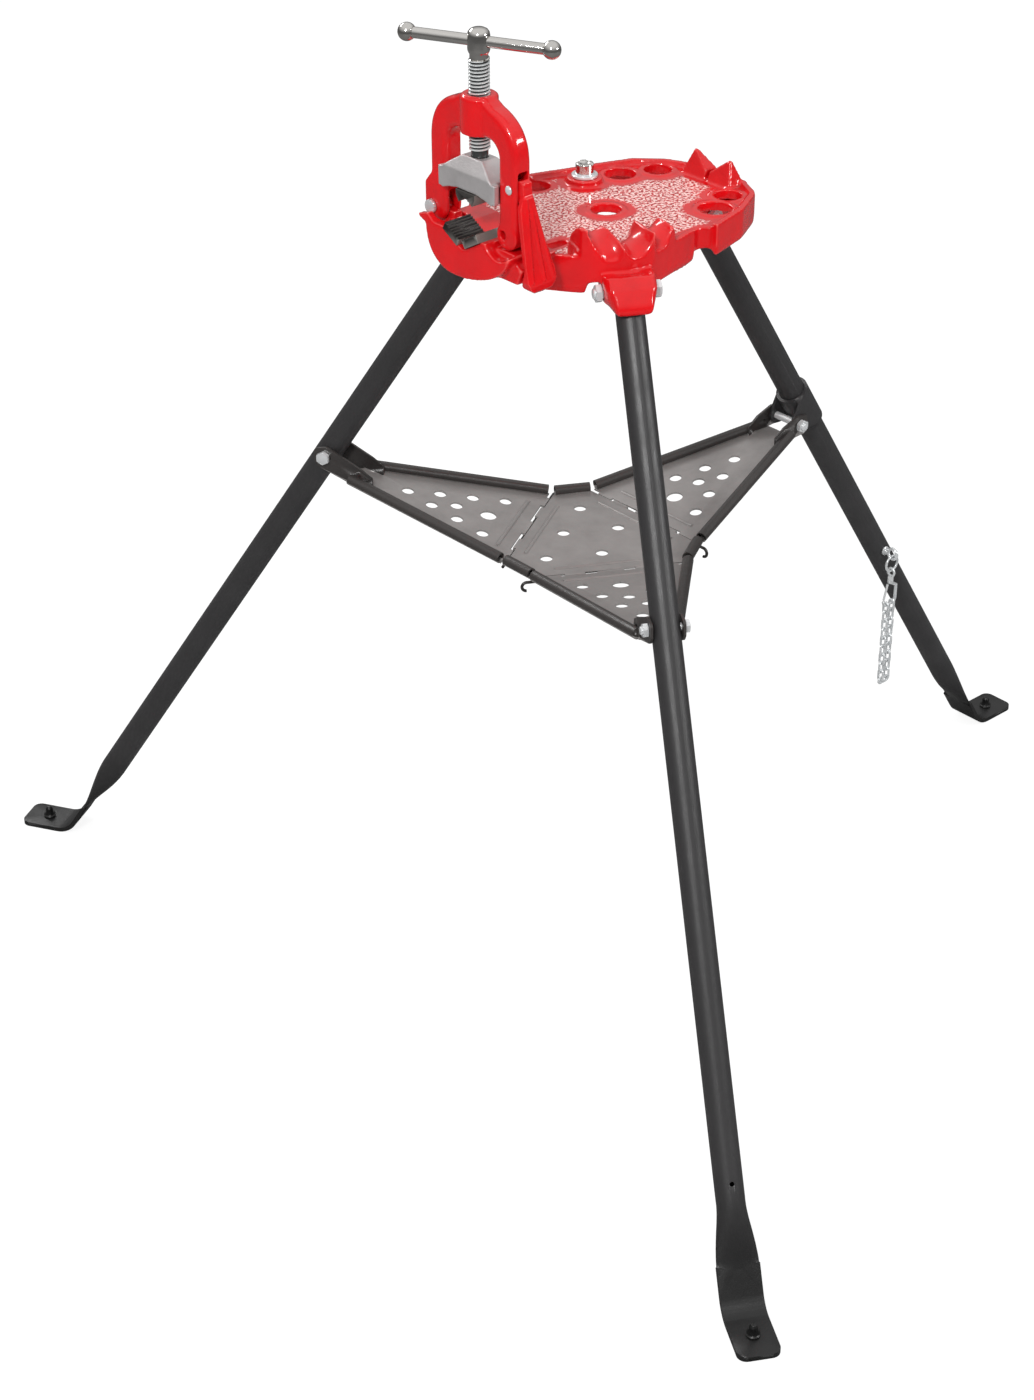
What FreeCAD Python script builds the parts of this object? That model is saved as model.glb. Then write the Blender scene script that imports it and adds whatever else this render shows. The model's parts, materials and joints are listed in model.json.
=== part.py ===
import FreeCAD, Part
import math
import os

# Portable tripod stand with a yoke pipe vise, conduit bending horns, a tool table and a
# folding tray.  Units are millimetres.  X runs along the clamped pipe (vise at -X, pipe
# rest at +X), Y points to the far side of the table, Z is up and the floor is z = 0.  Everything
# is drawn about the table's centre and moved to the middle of the footprint when it is saved.

os.makedirs("parts", exist_ok=True)
V = FreeCAD.Vector

# ---- table casting ----
TABLE_Z = 800.0            # top of the table plate
PLATE_T = 8.0
SKIRT_DEPTH = 28.0         # outside wall, measured down from the plate top
RIM_H = 4.0                # rim standing above the plate
WALL = 6.0
TABLE_OUTLINE = [
    (-114, -40), (-84, -84), (-56, -100), (-31, -105), (36, -88),
    (60, -94), (108, -81), (146, -60), (161, -32), (164, 0), (159, 32), (147, 60),
    (124, 84), (90, 97), (60, 106), (24, 119), (-30, 121), (-64, 108), (-94, 78), (-114, 40),
]
TOOL_HOLES = [(91, 67, 15.0), (126, 51, 13.5), (18, 9, 14.2), (95, -57, 16.0), (127, -42, 13.0)]
HALF_HOLE = (12, 100, 14.0)
VISE_RIM_H = 8.5           # the wall is higher between the vise and the bending horns
BANK_START = (-92.0, -74.0)
BANK_TURN = -11.4

# ---- legs ----
LEG_OD = 26.7
LEG_WALL = 2.4
SPLAY = 32.5               # leg angle from vertical when open
LEG_PLAY = 1.7             # a leg opens this much further while the tray passes dead centre
PIVOT_DROP = 25.0          # leg pivots below the table top
PIVOT_Z = TABLE_Z - PIVOT_DROP
PIVOT_R = 115.0            # front legs
PIVOT_R_REAR = 126.0
LEG_AZ = {"front_far": 120.0, "front_near": -120.0, "rear": 0.0}
LEG_TOP = 10.0             # tube above the pivot
PAD_T = 5.0
PAD_W = 40.0
PAD_LEN = 58.0
PAD_CORNER = 9.0
BEND_R = 26.0
SOCKET_W = 48.0
HOOD_WALL = 10.65          # leg to the outside of the socket's round underside
LEG_BOLT_D = 10.0

# ---- tray ----
TRAY_Z = 465.0             # middle of the centre sheet
KNUCKLE_R = 69.0           # hinge lines of the centre sheet
SHEET = 2.0
HINGE_GAP = 5.0
SIDE_HALF = 77.0           # half length of a hinge side
TRAY_RIM_OD = 11.0
ARM_SLOPE = 9.5
ARM_BACK = 25.8            # an arm's sheet ends this far before its bolt
ARM_BACK_REAR = 10.5
ARM_TIP_HALF = 17.5
TRAY_BOLT_S = 303.2        # tray bolt, measured down the leg from its pivot
TRAY_BOLT_D = 8.0
EAR_GAP = 0.6              # ear to leg, each side
EAR_T = 2.5
EAR_HOLE = 9.4
EAR_SLOT = 2.6             # the ear holes are this much longer than round

# ---- vise ----
SCREW_X = -144.0
YOKE_X0, YOKE_X1 = -154.0, -134.0
BASE_X0 = -166.0
YOKE_IN = 34.0             # half opening between the yoke arms
YOKE_OUT = 57.5
YOKE_TOP = TABLE_Z + 151.0
YOKE_IN_TOP = TABLE_Z + 118.0
JAW_TIP = (1.5, TABLE_Z + 23.5)    # lower jaw working face, (y, z)
JAW_END = (20.5, TABLE_Z + 34.5)
JAW_T = 8.0
JAW_X0, JAW_X1 = -168.0, -138.0
PIN_Y, PIN_Z = 55.0, TABLE_Z + 36.0
PIN_D = 10.0
FORK_Y, FORK_Z, FORK_R = 50.5, TABLE_Z + 40.0, 16.5
FOOT_Y, FOOT_R = -45.0, 12.8
FOOT_SEAT = 0.3            # gap under the closed yoke's foot
HOOK_PIN_Y, HOOK_PIN_Z = -49.0, TABLE_Z + 80.0
SCREW_D = 19.05
SCREW_TIP_Z = TABLE_Z + 87.0
HEAD_D = 20.0
HANDLE_UP = 48.0           # bar above the yoke
HANDLE_Z = YOKE_TOP + HANDLE_UP
HEAD_LOW, HEAD_HIGH = 9.0, 7.0   # barrel of the head below and above the bar
HANDLE_AZ = -64.0
HANDLE_LEN = 135.0         # between ball centres
BAR_D = 10.0
BALL_D = 16.5

# ---- ceiling brace ----
BRACE = (52.0, 75.0)
BRACE_D = 16.0
SPIGOT_D = 10.0

CLEAR = 0.4                # between faces that move past each other
RUN = 0.16                 # a running bore is this much wider than its shaft


def polygon(points):
    return Part.Face(Part.makePolygon([V(*p) for p in points] + [V(*points[0])]))


def above(points):
    """Outline points whose second number is a height above the table top."""
    return [(a, TABLE_Z + height) for a, height in points]


def prism_z(points, z0, z1):
    return polygon([(x, y, z0) for x, y in points]).extrude(V(0, 0, z1 - z0))


def prism_x(points, x0, x1):
    return polygon([(x0, y, z) for y, z in points]).extrude(V(x1 - x0, 0, 0))


def prism_y(points, y0, y1):
    return polygon([(x, y0, z) for x, z in points]).extrude(V(0, y1 - y0, 0))


def rod(p, q, d):
    axis = V(*q) - V(*p)
    return Part.makeCylinder(d / 2, axis.Length, V(*p), axis)


def box(x0, x1, y0, y1, z0, z1):
    return Part.makeBox(x1 - x0, y1 - y0, z1 - z0, V(x0, y0, z0))


def fuse(first, *others):
    return first.multiFuse(list(others)).removeSplitter()


def spin_z(shape, az):
    return shape.rotated(V(0, 0, 0), V(0, 0, 1), az)


def round_edges(shape, radius, keep):
    edges = [e for e in shape.Edges if keep(e)]
    return shape.makeFillet(radius, edges) if edges else shape


def vertical(edge):
    a, b = edge.Vertexes[0].Point, edge.Vertexes[-1].Point
    return math.hypot(a.x - b.x, a.y - b.y) < 1e-6 and abs(a.z - b.z) > 1e-6


def along_x(edge):
    a, b = edge.Vertexes[0].Point, edge.Vertexes[-1].Point
    return math.hypot(a.y - b.y, a.z - b.z) < 1e-6 and abs(a.x - b.x) > 1e-6


def smooth_x(points, x0, x1):
    """Prism along X whose section is a smooth curve through the points, closed by a chord."""
    pts = [V(x0, y, z) for y, z in points]
    curve = Part.BSplineCurve()
    curve.interpolate(pts)
    wire = Part.Wire([curve.toShape(), Part.makeLine(pts[-1], pts[0])])
    return Part.Face(wire).extrude(V(x1 - x0, 0, 0))


def outline(offset, z0, z1):
    solid = round_edges(prism_z(TABLE_OUTLINE, z0, z1), 14.0, vertical)
    if not offset:
        return solid
    base = min(solid.Faces, key=lambda f: f.CenterOfMass.z)
    inner = Part.Face(base.OuterWire.makeOffset2D(-offset))
    return inner.extrude(V(0, 0, z1 - z0))


def footprint_middle():
    """X of the middle of the three pads' footprint, where the part's origin is put."""
    rear = foot_strip(PIVOT_R_REAR, PIVOT_Z)[1].x
    front = foot_strip(PIVOT_R, PIVOT_Z)[1].x - PAD_CORNER
    corner = front * math.cos(math.radians(LEG_AZ["front_far"]))
    corner -= (PAD_W / 2 - PAD_CORNER) * math.sin(math.radians(LEG_AZ["front_far"])) + PAD_CORNER
    return (rear + corner) / 2


def save(name, shape):
    if not shape.isValid():
        raise ValueError(name)
    shape = shape.copy()
    shape.translate(V(-footprint_middle(), 0, 0))
    shape.exportStep("parts/" + name + ".step")


# ---------------------------------------------------------------- table casting

def leg_dir(angle=SPLAY):
    a = math.radians(angle)
    return V(math.sin(a), 0, -math.cos(a))


def socket(pivot_r):
    """Cup that holds a leg's top end: two cheeks and an outer wall that stops the leg."""
    top = TABLE_Z - PLATE_T + 1
    outer = above([(pivot_r + 22, -14), (pivot_r + 32, -30), (pivot_r + 31, -36), (pivot_r + 24, -41),
                   (pivot_r + 6, -44), (pivot_r - 10, -40), (pivot_r - 17, -30)])
    outer += [(pivot_r - 17, top), (pivot_r + 12, top)]
    cup = prism_y(outer, -SOCKET_W / 2, SOCKET_W / 2)
    cup = round_edges(cup, 7.0, lambda e: abs(e.CenterOfMass.y) > SOCKET_W / 2 - 0.1
                      and e.CenterOfMass.z < top - 1 and e.CenterOfMass.x > pivot_r + 14)
    bowl = rod((pivot_r - 18, 0, PIVOT_Z + 5), (pivot_r + 34, 0, PIVOT_Z + 5), LEG_OD + 2 * HOOD_WALL)
    hood = fuse(bowl, box(pivot_r - 18, pivot_r + 34, -SOCKET_W / 2, SOCKET_W / 2, PIVOT_Z + 5, top))
    seat = rod((pivot_r, -SOCKET_W / 2, PIVOT_Z), (pivot_r, SOCKET_W / 2, PIVOT_Z), 20)
    cup = fuse(cup.common(hood), seat)
    half = LEG_OD / 2 + 0.5
    ceiling = TABLE_Z - PLATE_T
    d = leg_dir(SPLAY + LEG_PLAY)
    n = V(-d.z, 0, d.x)
    p = V(pivot_r, 0, PIVOT_Z) + n * (LEG_OD / 2 + CLEAR)
    low = p + d * 60
    up = p + d * ((p.z - ceiling) / -d.z)
    cavity = prism_y([(up.x, up.z), (low.x, low.z), (pivot_r - 30, low.z), (pivot_r - 30, up.z)],
                     -half, half)
    bolt = rod((pivot_r, -40, PIVOT_Z), (pivot_r, 40, PIVOT_Z), LEG_BOLT_D + 0.1)
    seats = [rod((pivot_r, s * SOCKET_W / 2, PIVOT_Z), (pivot_r, s * (SOCKET_W / 2 + 12), PIVOT_Z), 20)
             for s in (-1, 1)]
    return cup, cavity.multiFuse([bolt] + seats)


def bender_bank():
    """Bank of conduit bending horns: a rounded ridge with three ring-shaped grooves across it."""
    z = TABLE_Z
    section = [(22, z - 4), (24, z + 12), (18, z + 25), (8, z + 33.5), (0, z + 35.5), (-8, z + 33),
               (-15, z + 26), (-20, z + 15), (-24, z - 4)]
    crest = [(1, z - 10), (1, z + 36), (5, z + 35), (36, z + 30), (68, z + 24), (94, z + 22), (99, z + 14),
             (104, z - 10)]
    bank = smooth_x(section, 0, 106).common(prism_y(crest, -40, 40))
    # each groove: place along the bank, half width, bend radius, centre outwards and up
    for u, half, bend, y, up in ((21.4, 15.6, 26, 14, -3), (50, 17.6, 20, 0, -6.4),
                                 (82, 13.7, 19.8, 10, -4.1)):
        ring = torus(V(u, y, z + up), V(1, 0, 0), bend + half, half)
        room = fuse(box(-5, 110, -60, 1, z - 13, z + 70), box(-5, 110, 0, 30, z + 0.4, z + 70))
        bank = bank.cut(ring.common(room))
    bank.rotate(V(0, 0, 0), V(0, 0, 1), BANK_TURN)
    bank.translate(V(*BANK_START, 0))
    return bank.common(outline(0, TABLE_Z - 10, TABLE_Z + 60))


def rest_horn(side):
    """One pointed horn of the V-shaped pipe rest."""
    pts = [(side * 2, TABLE_Z - 2), (side * 2, TABLE_Z + 9), (side * 21, TABLE_Z + 23.5),
           (side * 24, TABLE_Z + 23.5), (side * 33, TABLE_Z - 2)]
    horn = prism_x(pts, 139, 159)
    for s in (-1, 1):
        wedge = prism_y([(149 + s * 10, TABLE_Z + 2), (149 + s * 1.5, TABLE_Z + 24),
                         (149 + s * 1.5, TABLE_Z + 30), (149 + s * 16, TABLE_Z + 30)], -40, 40)
        horn = horn.cut(wedge)
    return horn


def jaw_corners(side, gap=0.0):
    """Section of a lower jaw block in (y, z): tip, outer end, then the two back corners."""
    run = V(0, JAW_END[0] - JAW_TIP[0], JAW_END[1] - JAW_TIP[1]).normalize()
    back = V(0, run.z, -run.y)
    tip = V(0, *JAW_TIP)
    end = V(0, *JAW_END) + run * gap
    corners = [tip, end, end + back * (JAW_T + gap), tip + back * (JAW_T + gap)]
    return [V(0, side * c.y, c.z) for c in corners], V(0, side * run.y, run.z)


def jaw_seat(side):
    """Half of the V seat, cut a little larger than the jaw block."""
    (tip, end, low_end, low_tip), run = jaw_corners(side, 0.15)
    apex = low_tip - run * (low_tip.y / run.y)
    pts = [(v.y, v.z) for v in (apex, low_end, end)] + above([(end.y, 60), (0, 60)])
    return prism_x(pts, BASE_X0 - 1, JAW_X1 + 0.15)


def vise_base():
    """Cradle of the vise: round-bottomed block with a V seat, a hinge lug and a pocket."""
    x1 = -104.0
    top = TABLE_Z + 60
    bowl = above([(50.5, 28), (49.8, 16.8), (45.2, 3.4), (34.1, -8), (17.9, -13.5), (-4.5, -12.8),
                  (-24.3, -8.2), (-40.3, -1.5), (-53.6, 8.7), (-60, 18), (-61, 28)])
    body = smooth_x(bowl, BASE_X0, x1).common(box(BASE_X0, x1, -70, 70, TABLE_Z - 40, TABLE_Z + 28))
    nose = above([(30, 0), (45.2, 3.4), (49.8, 16.8), (50.8, 24.5), (60.2, 28.5), (60.1, 31.1),
                  (48, 34.6), (40, 28), (30, 26)])
    nose = prism_x(nose, BASE_X0 + 0.5, BASE_X0 + 8)
    floor = box(-130, x1, -48, 48, TABLE_Z - PLATE_T, TABLE_Z)
    body = fuse(body, nose, floor)
    swing = rod((YOKE_X0 - 1.5, PIN_Y, PIN_Z), (YOKE_X1 + 3.5, PIN_Y, PIN_Z), 2 * 23.2)
    pocket = box(YOKE_X0 - 1.5, YOKE_X1 + 2.5, -80, YOKE_IN * -1 + 2.5, PIN_Z - FOOT_R - FOOT_SEAT, top)
    front = smooth_x(above([(-29.5, 32), (-34.5, 21.5), (-46.5, 16.7), (-61, 22.8), (-70, 32)]),
                     BASE_X0 - 1, YOKE_X0 - 1)
    rear = box(YOKE_X1, x1 + 1, -80, -40, TABLE_Z + 14, top)
    for tool in (swing, pocket, front, rear):
        body = body.cut(tool)
    mid = (YOKE_X0 + YOKE_X1) / 2
    lug = fuse(rod((mid - 5.2, PIN_Y, PIN_Z), (mid + 5.2, PIN_Y, PIN_Z), 24),
               box(mid - 5.2, mid + 5.2, PIN_Y - 12, PIN_Y + 11, TABLE_Z, PIN_Z))
    foot = above([(30, -4), (47, 6), (PIN_Y + 10, 18)]) + [(PIN_Y + 11.5, PIN_Z), (30, PIN_Z)]
    foot = prism_x(foot, mid - 5.2, mid + 5.2)
    catch = prism_x(above([(-34, -4), (-61.5, -4), (-67, 10), (-60, 15), (-34, 15)]),
                    YOKE_X0 - 2, YOKE_X1 + 2)
    body = fuse(body, lug, foot, catch)
    bore = rod((BASE_X0 + 8.2, PIN_Y, PIN_Z), (-120, PIN_Y, PIN_Z), PIN_D + 0.04)
    passage = prism_x(above([(0, 16), (28, 32), (28, 60), (-28, 60), (-28, 32)]), JAW_X1, x1 + 1)
    for tool in (bore, passage, jaw_seat(1), jaw_seat(-1)):
        body = body.cut(tool)
    return body


def vise_table():
    plate = outline(0, TABLE_Z - SKIRT_DEPTH, TABLE_Z + RIM_H)
    shell = plate.cut(outline(WALL, TABLE_Z, TABLE_Z + RIM_H + 1))
    shell = shell.cut(outline(WALL, TABLE_Z - SKIRT_DEPTH - 1, TABLE_Z - PLATE_T))
    adds = []
    cuts = []
    for az, r in zip(LEG_AZ.values(), (PIVOT_R, PIVOT_R, PIVOT_R_REAR)):
        cup, cavity = socket(r)
        adds.append(spin_z(cup, az))
        cuts.append(spin_z(cavity, az))
        rib = box(18, r - 20, -3, 3, TABLE_Z - SKIRT_DEPTH + 4, TABLE_Z - PLATE_T + 1)
        adds.append(spin_z(rib, az))
    # cast collars round the tool holes, the brace boss and the middle hub
    for x, y, r in TOOL_HOLES:
        adds.append(Part.makeCylinder(r + 5, PLATE_T + 1.2, V(x, y, TABLE_Z - PLATE_T)))
        cuts.append(Part.makeCylinder(r, 40, V(x, y, TABLE_Z - 30)))
    hx, hy, hr = HALF_HOLE
    cuts.append(Part.makeCylinder(hr, 18, V(hx, hy, TABLE_Z - PLATE_T - 1)))
    adds.append(Part.makeCylinder(17, 34, V(BRACE[0], BRACE[1], TABLE_Z - 28)))
    adds.append(Part.makeCylinder(15, 14, V(BRACE[0], BRACE[1], TABLE_Z - 8)))
    cuts.append(Part.makeCylinder((BRACE_D + RUN) / 2, 60, V(BRACE[0], BRACE[1], TABLE_Z - 40)))
    # slot for a wrench handle near the vise
    slot = box(-84, -60, -26, -14, TABLE_Z - 20, TABLE_Z + 2)
    cuts.append(round_edges(slot, 5.9, vertical))
    # scalloped recess in the near wall
    cuts.append(Part.makeCylinder(12, 60, V(49, -93, TABLE_Z - 40)))
    lip = Part.makeCylinder(17, SKIRT_DEPTH - 6, V(49, -93, TABLE_Z - SKIRT_DEPTH + 6))
    adds.append(lip.common(outline(0, TABLE_Z - SKIRT_DEPTH, TABLE_Z + RIM_H)))
    step = outline(0, TABLE_Z, TABLE_Z + VISE_RIM_H).cut(outline(WALL, TABLE_Z, TABLE_Z + VISE_RIM_H))
    adds.append(step.common(box(-130, BANK_START[0] + 8, -120, -30, TABLE_Z, TABLE_Z + VISE_RIM_H)))
    adds += [bender_bank(), rest_horn(1), rest_horn(-1), vise_base()]
    casting = fuse(shell, *adds)
    for tool in cuts:
        casting = casting.cut(tool)
    return casting


# ---------------------------------------------------------------- legs and their bolts

def leg_axis_point(pivot_r, s):
    return V(pivot_r, 0, PIVOT_Z) + leg_dir() * s


def ellipse_wire(centre, normal, a, b):
    """Ellipse across the leg: half width a runs along Y, half height b stays in the XZ plane."""
    e = Part.Ellipse(V(0, 0, 0), max(a, b), min(a, b))
    wire = Part.Wire(e.toShape())
    ydir = V(0, 1, 0)
    xdir = ydir.cross(normal)
    frame = FreeCAD.Placement(centre, FreeCAD.Rotation(ydir, xdir * -1, normal, "XYZ"))
    wire.Placement = frame
    return wire


def foot_strip(pivot_r, s0):
    """Flattened end of the tube: straight down the leg, bent out to lie on the floor."""
    d = leg_dir()
    h = V(1, 0, 0)
    s_floor = (PIVOT_Z - PAD_T / 2) / math.cos(math.radians(SPLAY))
    corner = leg_axis_point(pivot_r, s_floor)
    t = BEND_R * math.tan(math.radians(90 - SPLAY) / 2)
    t1 = corner - d * t
    t2 = corner + h * t
    centre = t2 + V(0, 0, BEND_R)
    n = (centre - t1).normalize()
    up = V(0, 0, 1)
    mid_dir = (((t1 - centre) + (t2 - centre)).normalize())
    start = leg_axis_point(pivot_r, s0)
    end = corner + h * PAD_LEN
    k = PAD_T / 2
    edges = [
        Part.makeLine(start + n * k, t1 + n * k),
        Part.Arc(t1 + n * k, centre + mid_dir * (BEND_R - k), t2 + up * k).toShape(),
        Part.makeLine(t2 + up * k, end + up * k),
        Part.makeLine(end + up * k, end - up * k),
        Part.makeLine(end - up * k, t2 - up * k),
        Part.Arc(t2 - up * k, centre + mid_dir * (BEND_R + k), t1 - n * k).toShape(),
        Part.makeLine(t1 - n * k, start - n * k),
        Part.makeLine(start - n * k, start + n * k),
    ]
    face = Part.Face(Part.Wire(edges))
    face.translate(V(0, -PAD_W / 2, 0))
    strip = face.extrude(V(0, PAD_W, 0))
    strip = round_edges(strip, PAD_CORNER, lambda e: vertical(e) and e.CenterOfMass.x > end.x - 0.1)
    return strip, end


def leg(kind):
    pivot_r = PIVOT_R_REAR if kind == "rear" else PIVOT_R
    d = leg_dir()
    s_floor = PIVOT_Z / math.cos(math.radians(SPLAY))
    s_flat = s_floor - 105
    top = leg_axis_point(pivot_r, -LEG_TOP)
    tube = Part.makeCylinder(LEG_OD / 2, s_flat + LEG_TOP, top, d)
    r = LEG_OD / 2
    sections = [(s_flat, r, r), (s_flat + 12, r + 0.4, r - 0.8), (s_flat + 30, 16.5, 9.5),
                (s_flat + 50, 19.2, 4.6), (s_flat + 64, PAD_W / 2, PAD_T / 2)]
    wires = [ellipse_wire(leg_axis_point(pivot_r, s), d, a, b) for s, a, b in sections]
    crush = Part.makeLoft(wires, True, False)
    strip, end = foot_strip(pivot_r, s_flat + 60)
    body = fuse(tube, crush, strip)
    body = body.cut(Part.makeCylinder(r - LEG_WALL, s_flat + LEG_TOP, top - d, d))
    cross = [rod((pivot_r, -40, PIVOT_Z), (pivot_r, 40, PIVOT_Z), LEG_BOLT_D + RUN)]
    if kind != "rear":
        p = leg_axis_point(pivot_r, TRAY_BOLT_S)
        cross.append(rod((p.x, -40, p.z), (p.x, 40, p.z), TRAY_BOLT_D + 0.2))
    stud = V(end.x - 26, 0, 0)
    cross.append(Part.makeCylinder(4.1, 20, stud - V(0, 0, 5)))
    drain = leg_axis_point(pivot_r, s_flat - 14)
    cross.append(Part.makeCylinder(2.2, 30, drain, V(d.z, 0, -d.x) * -1))
    if kind == "rear":
        eye = leg_axis_point(pivot_r, EYE_S)
        cross.append(rod((eye.x, 0, eye.z), (eye.x, -30, eye.z), 5.2))
    for tool in cross:
        body = body.cut(tool)
    return spin_z(body, LEG_AZ[kind])


def foot_stud(kind):
    """Pointed steel stud riveted through the pad."""
    pivot_r = PIVOT_R_REAR if kind == "rear" else PIVOT_R
    end = foot_strip(pivot_r, PIVOT_Z)[1]
    x = end.x - 26
    stem = Part.makeCylinder(4.0, PAD_T + 9, V(x, 0, 0.5))
    collar = Part.makeCylinder(6.5, 2.5, V(x, 0, PAD_T + 0.05))
    tip = Part.makeCone(4.0, 2.0, 3.0, V(x, 0, PAD_T + 9.5))
    return spin_z(fuse(stem, collar, tip), LEG_AZ[kind])


def cross_bolt(p, d, half, head, across):
    """Hex bolt along Y through p: head at +Y, plain shank."""
    pts = [V(p.x + across / math.sqrt(3) * math.cos(math.radians(60 * k)), half + p.y,
             p.z + across / math.sqrt(3) * math.sin(math.radians(60 * k))) for k in range(6)]
    cap = Part.Face(Part.makePolygon(pts + [pts[0]])).extrude(V(0, head, 0))
    shank = rod((p.x, p.y - half - head - 2, p.z), (p.x, p.y + half + 1, p.z), d)
    return fuse(cap, shank)


def cross_nut(p, d, half, height, across):
    pts = [V(p.x + across / math.sqrt(3) * math.cos(math.radians(60 * k)), p.y - half,
             p.z + across / math.sqrt(3) * math.sin(math.radians(60 * k))) for k in range(6)]
    nut = Part.Face(Part.makePolygon(pts + [pts[0]])).extrude(V(0, -height, 0))
    bore = rod((p.x, p.y - half - height - 1, p.z), (p.x, p.y - half + 1, p.z), d + 0.1)
    return nut.cut(bore)


def leg_bolts():
    bolts = []
    nuts = []
    for az, r in zip(LEG_AZ.values(), (PIVOT_R, PIVOT_R, PIVOT_R_REAR)):
        p = V(r, 0, PIVOT_Z)
        bolt = cross_bolt(p, LEG_BOLT_D, SOCKET_W / 2 + 0.05, 6.5, 15.0)
        bolts.append(spin_z(bolt, az))
        nuts.append(spin_z(cross_nut(p, LEG_BOLT_D, SOCKET_W / 2 + 0.05, 6.0, 15.0), az))
    return Part.makeCompound(bolts), Part.makeCompound(nuts)


# ---------------------------------------------------------------- rear collar and chain

EYE_S = 560.0              # chain eye, measured down the rear leg
EYE_Y = -24.5
SNAP_L = 40.0
LINK_WIRE = 2.6
LINK_BEND = 3.25
LINK_HALF = 3.6
LINKS_PER_STRAND = 9
COLLAR_T = 3.2
COLLAR_BORE = LEG_OD / 2 + 0.3
COLLAR_LUG = 21.6          # rear tray bolt stands this far inboard of the leg axis


def inboard():
    d = leg_dir()
    return V(d.z, 0, -d.x)


def rear_bolt_point():
    return leg_axis_point(PIVOT_R_REAR, TRAY_BOLT_S) + inboard() * COLLAR_LUG


def tray_bolt_point(kind):
    return rear_bolt_point() if kind == "rear" else leg_axis_point(PIVOT_R, TRAY_BOLT_S)


def bolt_seat(kind):
    """Half width across the piece that the arm's ears straddle."""
    return COLLAR_BORE + COLLAR_T if kind == "rear" else LEG_OD / 2


def rear_collar():
    """Sleeve that slides on the rear leg, with two side flanges that carry the tray bolt."""
    d = leg_dir()
    n = inboard()
    half = 24.0
    centre = leg_axis_point(PIVOT_R_REAR, TRAY_BOLT_S)
    outer = COLLAR_BORE + COLLAR_T
    sleeve = Part.makeCylinder(outer, 2 * half, centre - d * half, d)
    p = rear_bolt_point()
    q = [centre - d * half, centre + d * half, p + d * 10 + n * 2, p + d * 5 + n * 8,
         p - d * 5 + n * 8, p - d * 10 + n * 2]
    flanges = []
    for y in (-outer, COLLAR_BORE):
        face = Part.Face(Part.makePolygon([V(v.x, y, v.z) for v in q + q[:1]]))
        flanges.append(face.extrude(V(0, COLLAR_T, 0)))
    body = fuse(sleeve, *flanges)
    body = body.cut(Part.makeCylinder(COLLAR_BORE, 2 * half + 2, centre - d * (half + 1), d))
    return body.cut(rod((p.x, -40, p.z), (p.x, 40, p.z), TRAY_BOLT_D + 0.3))


def torus(centre, normal, big, small):
    return Part.makeTorus(big, small, centre, normal)


def chain_eye():
    """Eye bolt screwed into the near side of the rear leg."""
    e = leg_axis_point(PIVOT_R_REAR, EYE_S)
    stem = rod((e.x, -8, e.z), (e.x, EYE_Y + 5.5, e.z), 5.0)
    flange = rod((e.x, -LEG_OD / 2 - 0.1, e.z), (e.x, -LEG_OD / 2 - 1.6, e.z), 10.0)
    loop = torus(V(e.x, EYE_Y, e.z), V(1, 0, 0), 6.0, 1.8)
    return fuse(stem, flange, loop)


def chain_ring():
    e = leg_axis_point(PIVOT_R_REAR, EYE_S)
    return torus(V(e.x, EYE_Y, e.z - 11.6), V(0, 1, 0), 9.0, 1.3)


def snap_hook():
    """Swivel snap: eye, barrel and an open hook that the sprung gate closes."""
    x, y, z = snap_origin()
    eye = torus(V(x, y, z), V(1, 0, 0), 4.6, 1.3)
    barrel = Part.makeCylinder(3.2, 9.0, V(x, y, z - 13.5))
    path = [(x + 1, y, z - 13.5), (x + 9.5, y, z - 19), (x + 9.5, y, z - 35), (x + 7.5, y, z - SNAP_L),
            (x - 7.5, y, z - SNAP_L), (x - 9.5, y, z - 35)]
    wire = [rod(a, b, 3.6) for a, b in zip(path, path[1:])]
    wire += [Part.makeSphere(1.8, V(*p)) for p in path[1:]]
    return fuse(eye, barrel, *wire)


def snap_gate():
    x, y, z = snap_origin()
    return rod((x - 9.3, y, z - 32.4), (x - 4.4, y, z - 13.8), 2.6)


def snap_origin():
    e = leg_axis_point(PIVOT_R_REAR, EYE_S)
    return e.x, EYE_Y, e.z - 11.6 - 9.0 - 1.8


def chain_link(half, lying=False, turned=False):
    """Oval wire link round the origin, long axis upright or lying along X."""
    bars = [rod((s * LINK_BEND, 0, -half), (s * LINK_BEND, 0, half), LINK_WIRE) for s in (-1, 1)]
    for s in (-1, 1):
        arc = torus(V(0, 0, s * half), V(0, 1, 0), LINK_BEND, LINK_WIRE / 2)
        z0, z1 = sorted((s * half, s * (half + 8)))
        bars.append(arc.common(box(-7, 7, -3, 3, z0, z1)))
    link = fuse(*bars)
    if lying:
        link.rotate(V(0, 0, 0), V(0, 1, 0), 90)
    if turned:
        link.rotate(V(0, 0, 0), V(0, 0, 1), 90)
    return link


def chain_links():
    """Doubled chain: two strands hang in the snap and meet in one lying link at the bottom."""
    x, y, z = snap_origin()
    reach = LINK_HALF + LINK_BEND
    pitch = 2 * reach - LINK_WIRE - 0.2
    strand = LINK_BEND + LINK_WIRE / 2 + 0.2
    top = z - SNAP_L + 1.8 + LINK_WIRE / 2 + 0.15 - reach
    links = []
    for k in range(LINKS_PER_STRAND):
        for s in (-1, 1):
            link = chain_link(LINK_HALF, turned=k % 2 == 0)
            link.translate(V(x + s * strand, y, top - k * pitch))
            links.append(link)
    bottom = chain_link(strand - LINK_BEND + LINK_WIRE + 0.2, lying=True)
    bottom.translate(V(x, y, top - (LINKS_PER_STRAND - 1) * pitch - reach))
    return Part.makeCompound(links + [bottom])


# ---------------------------------------------------------------- tray

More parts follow.
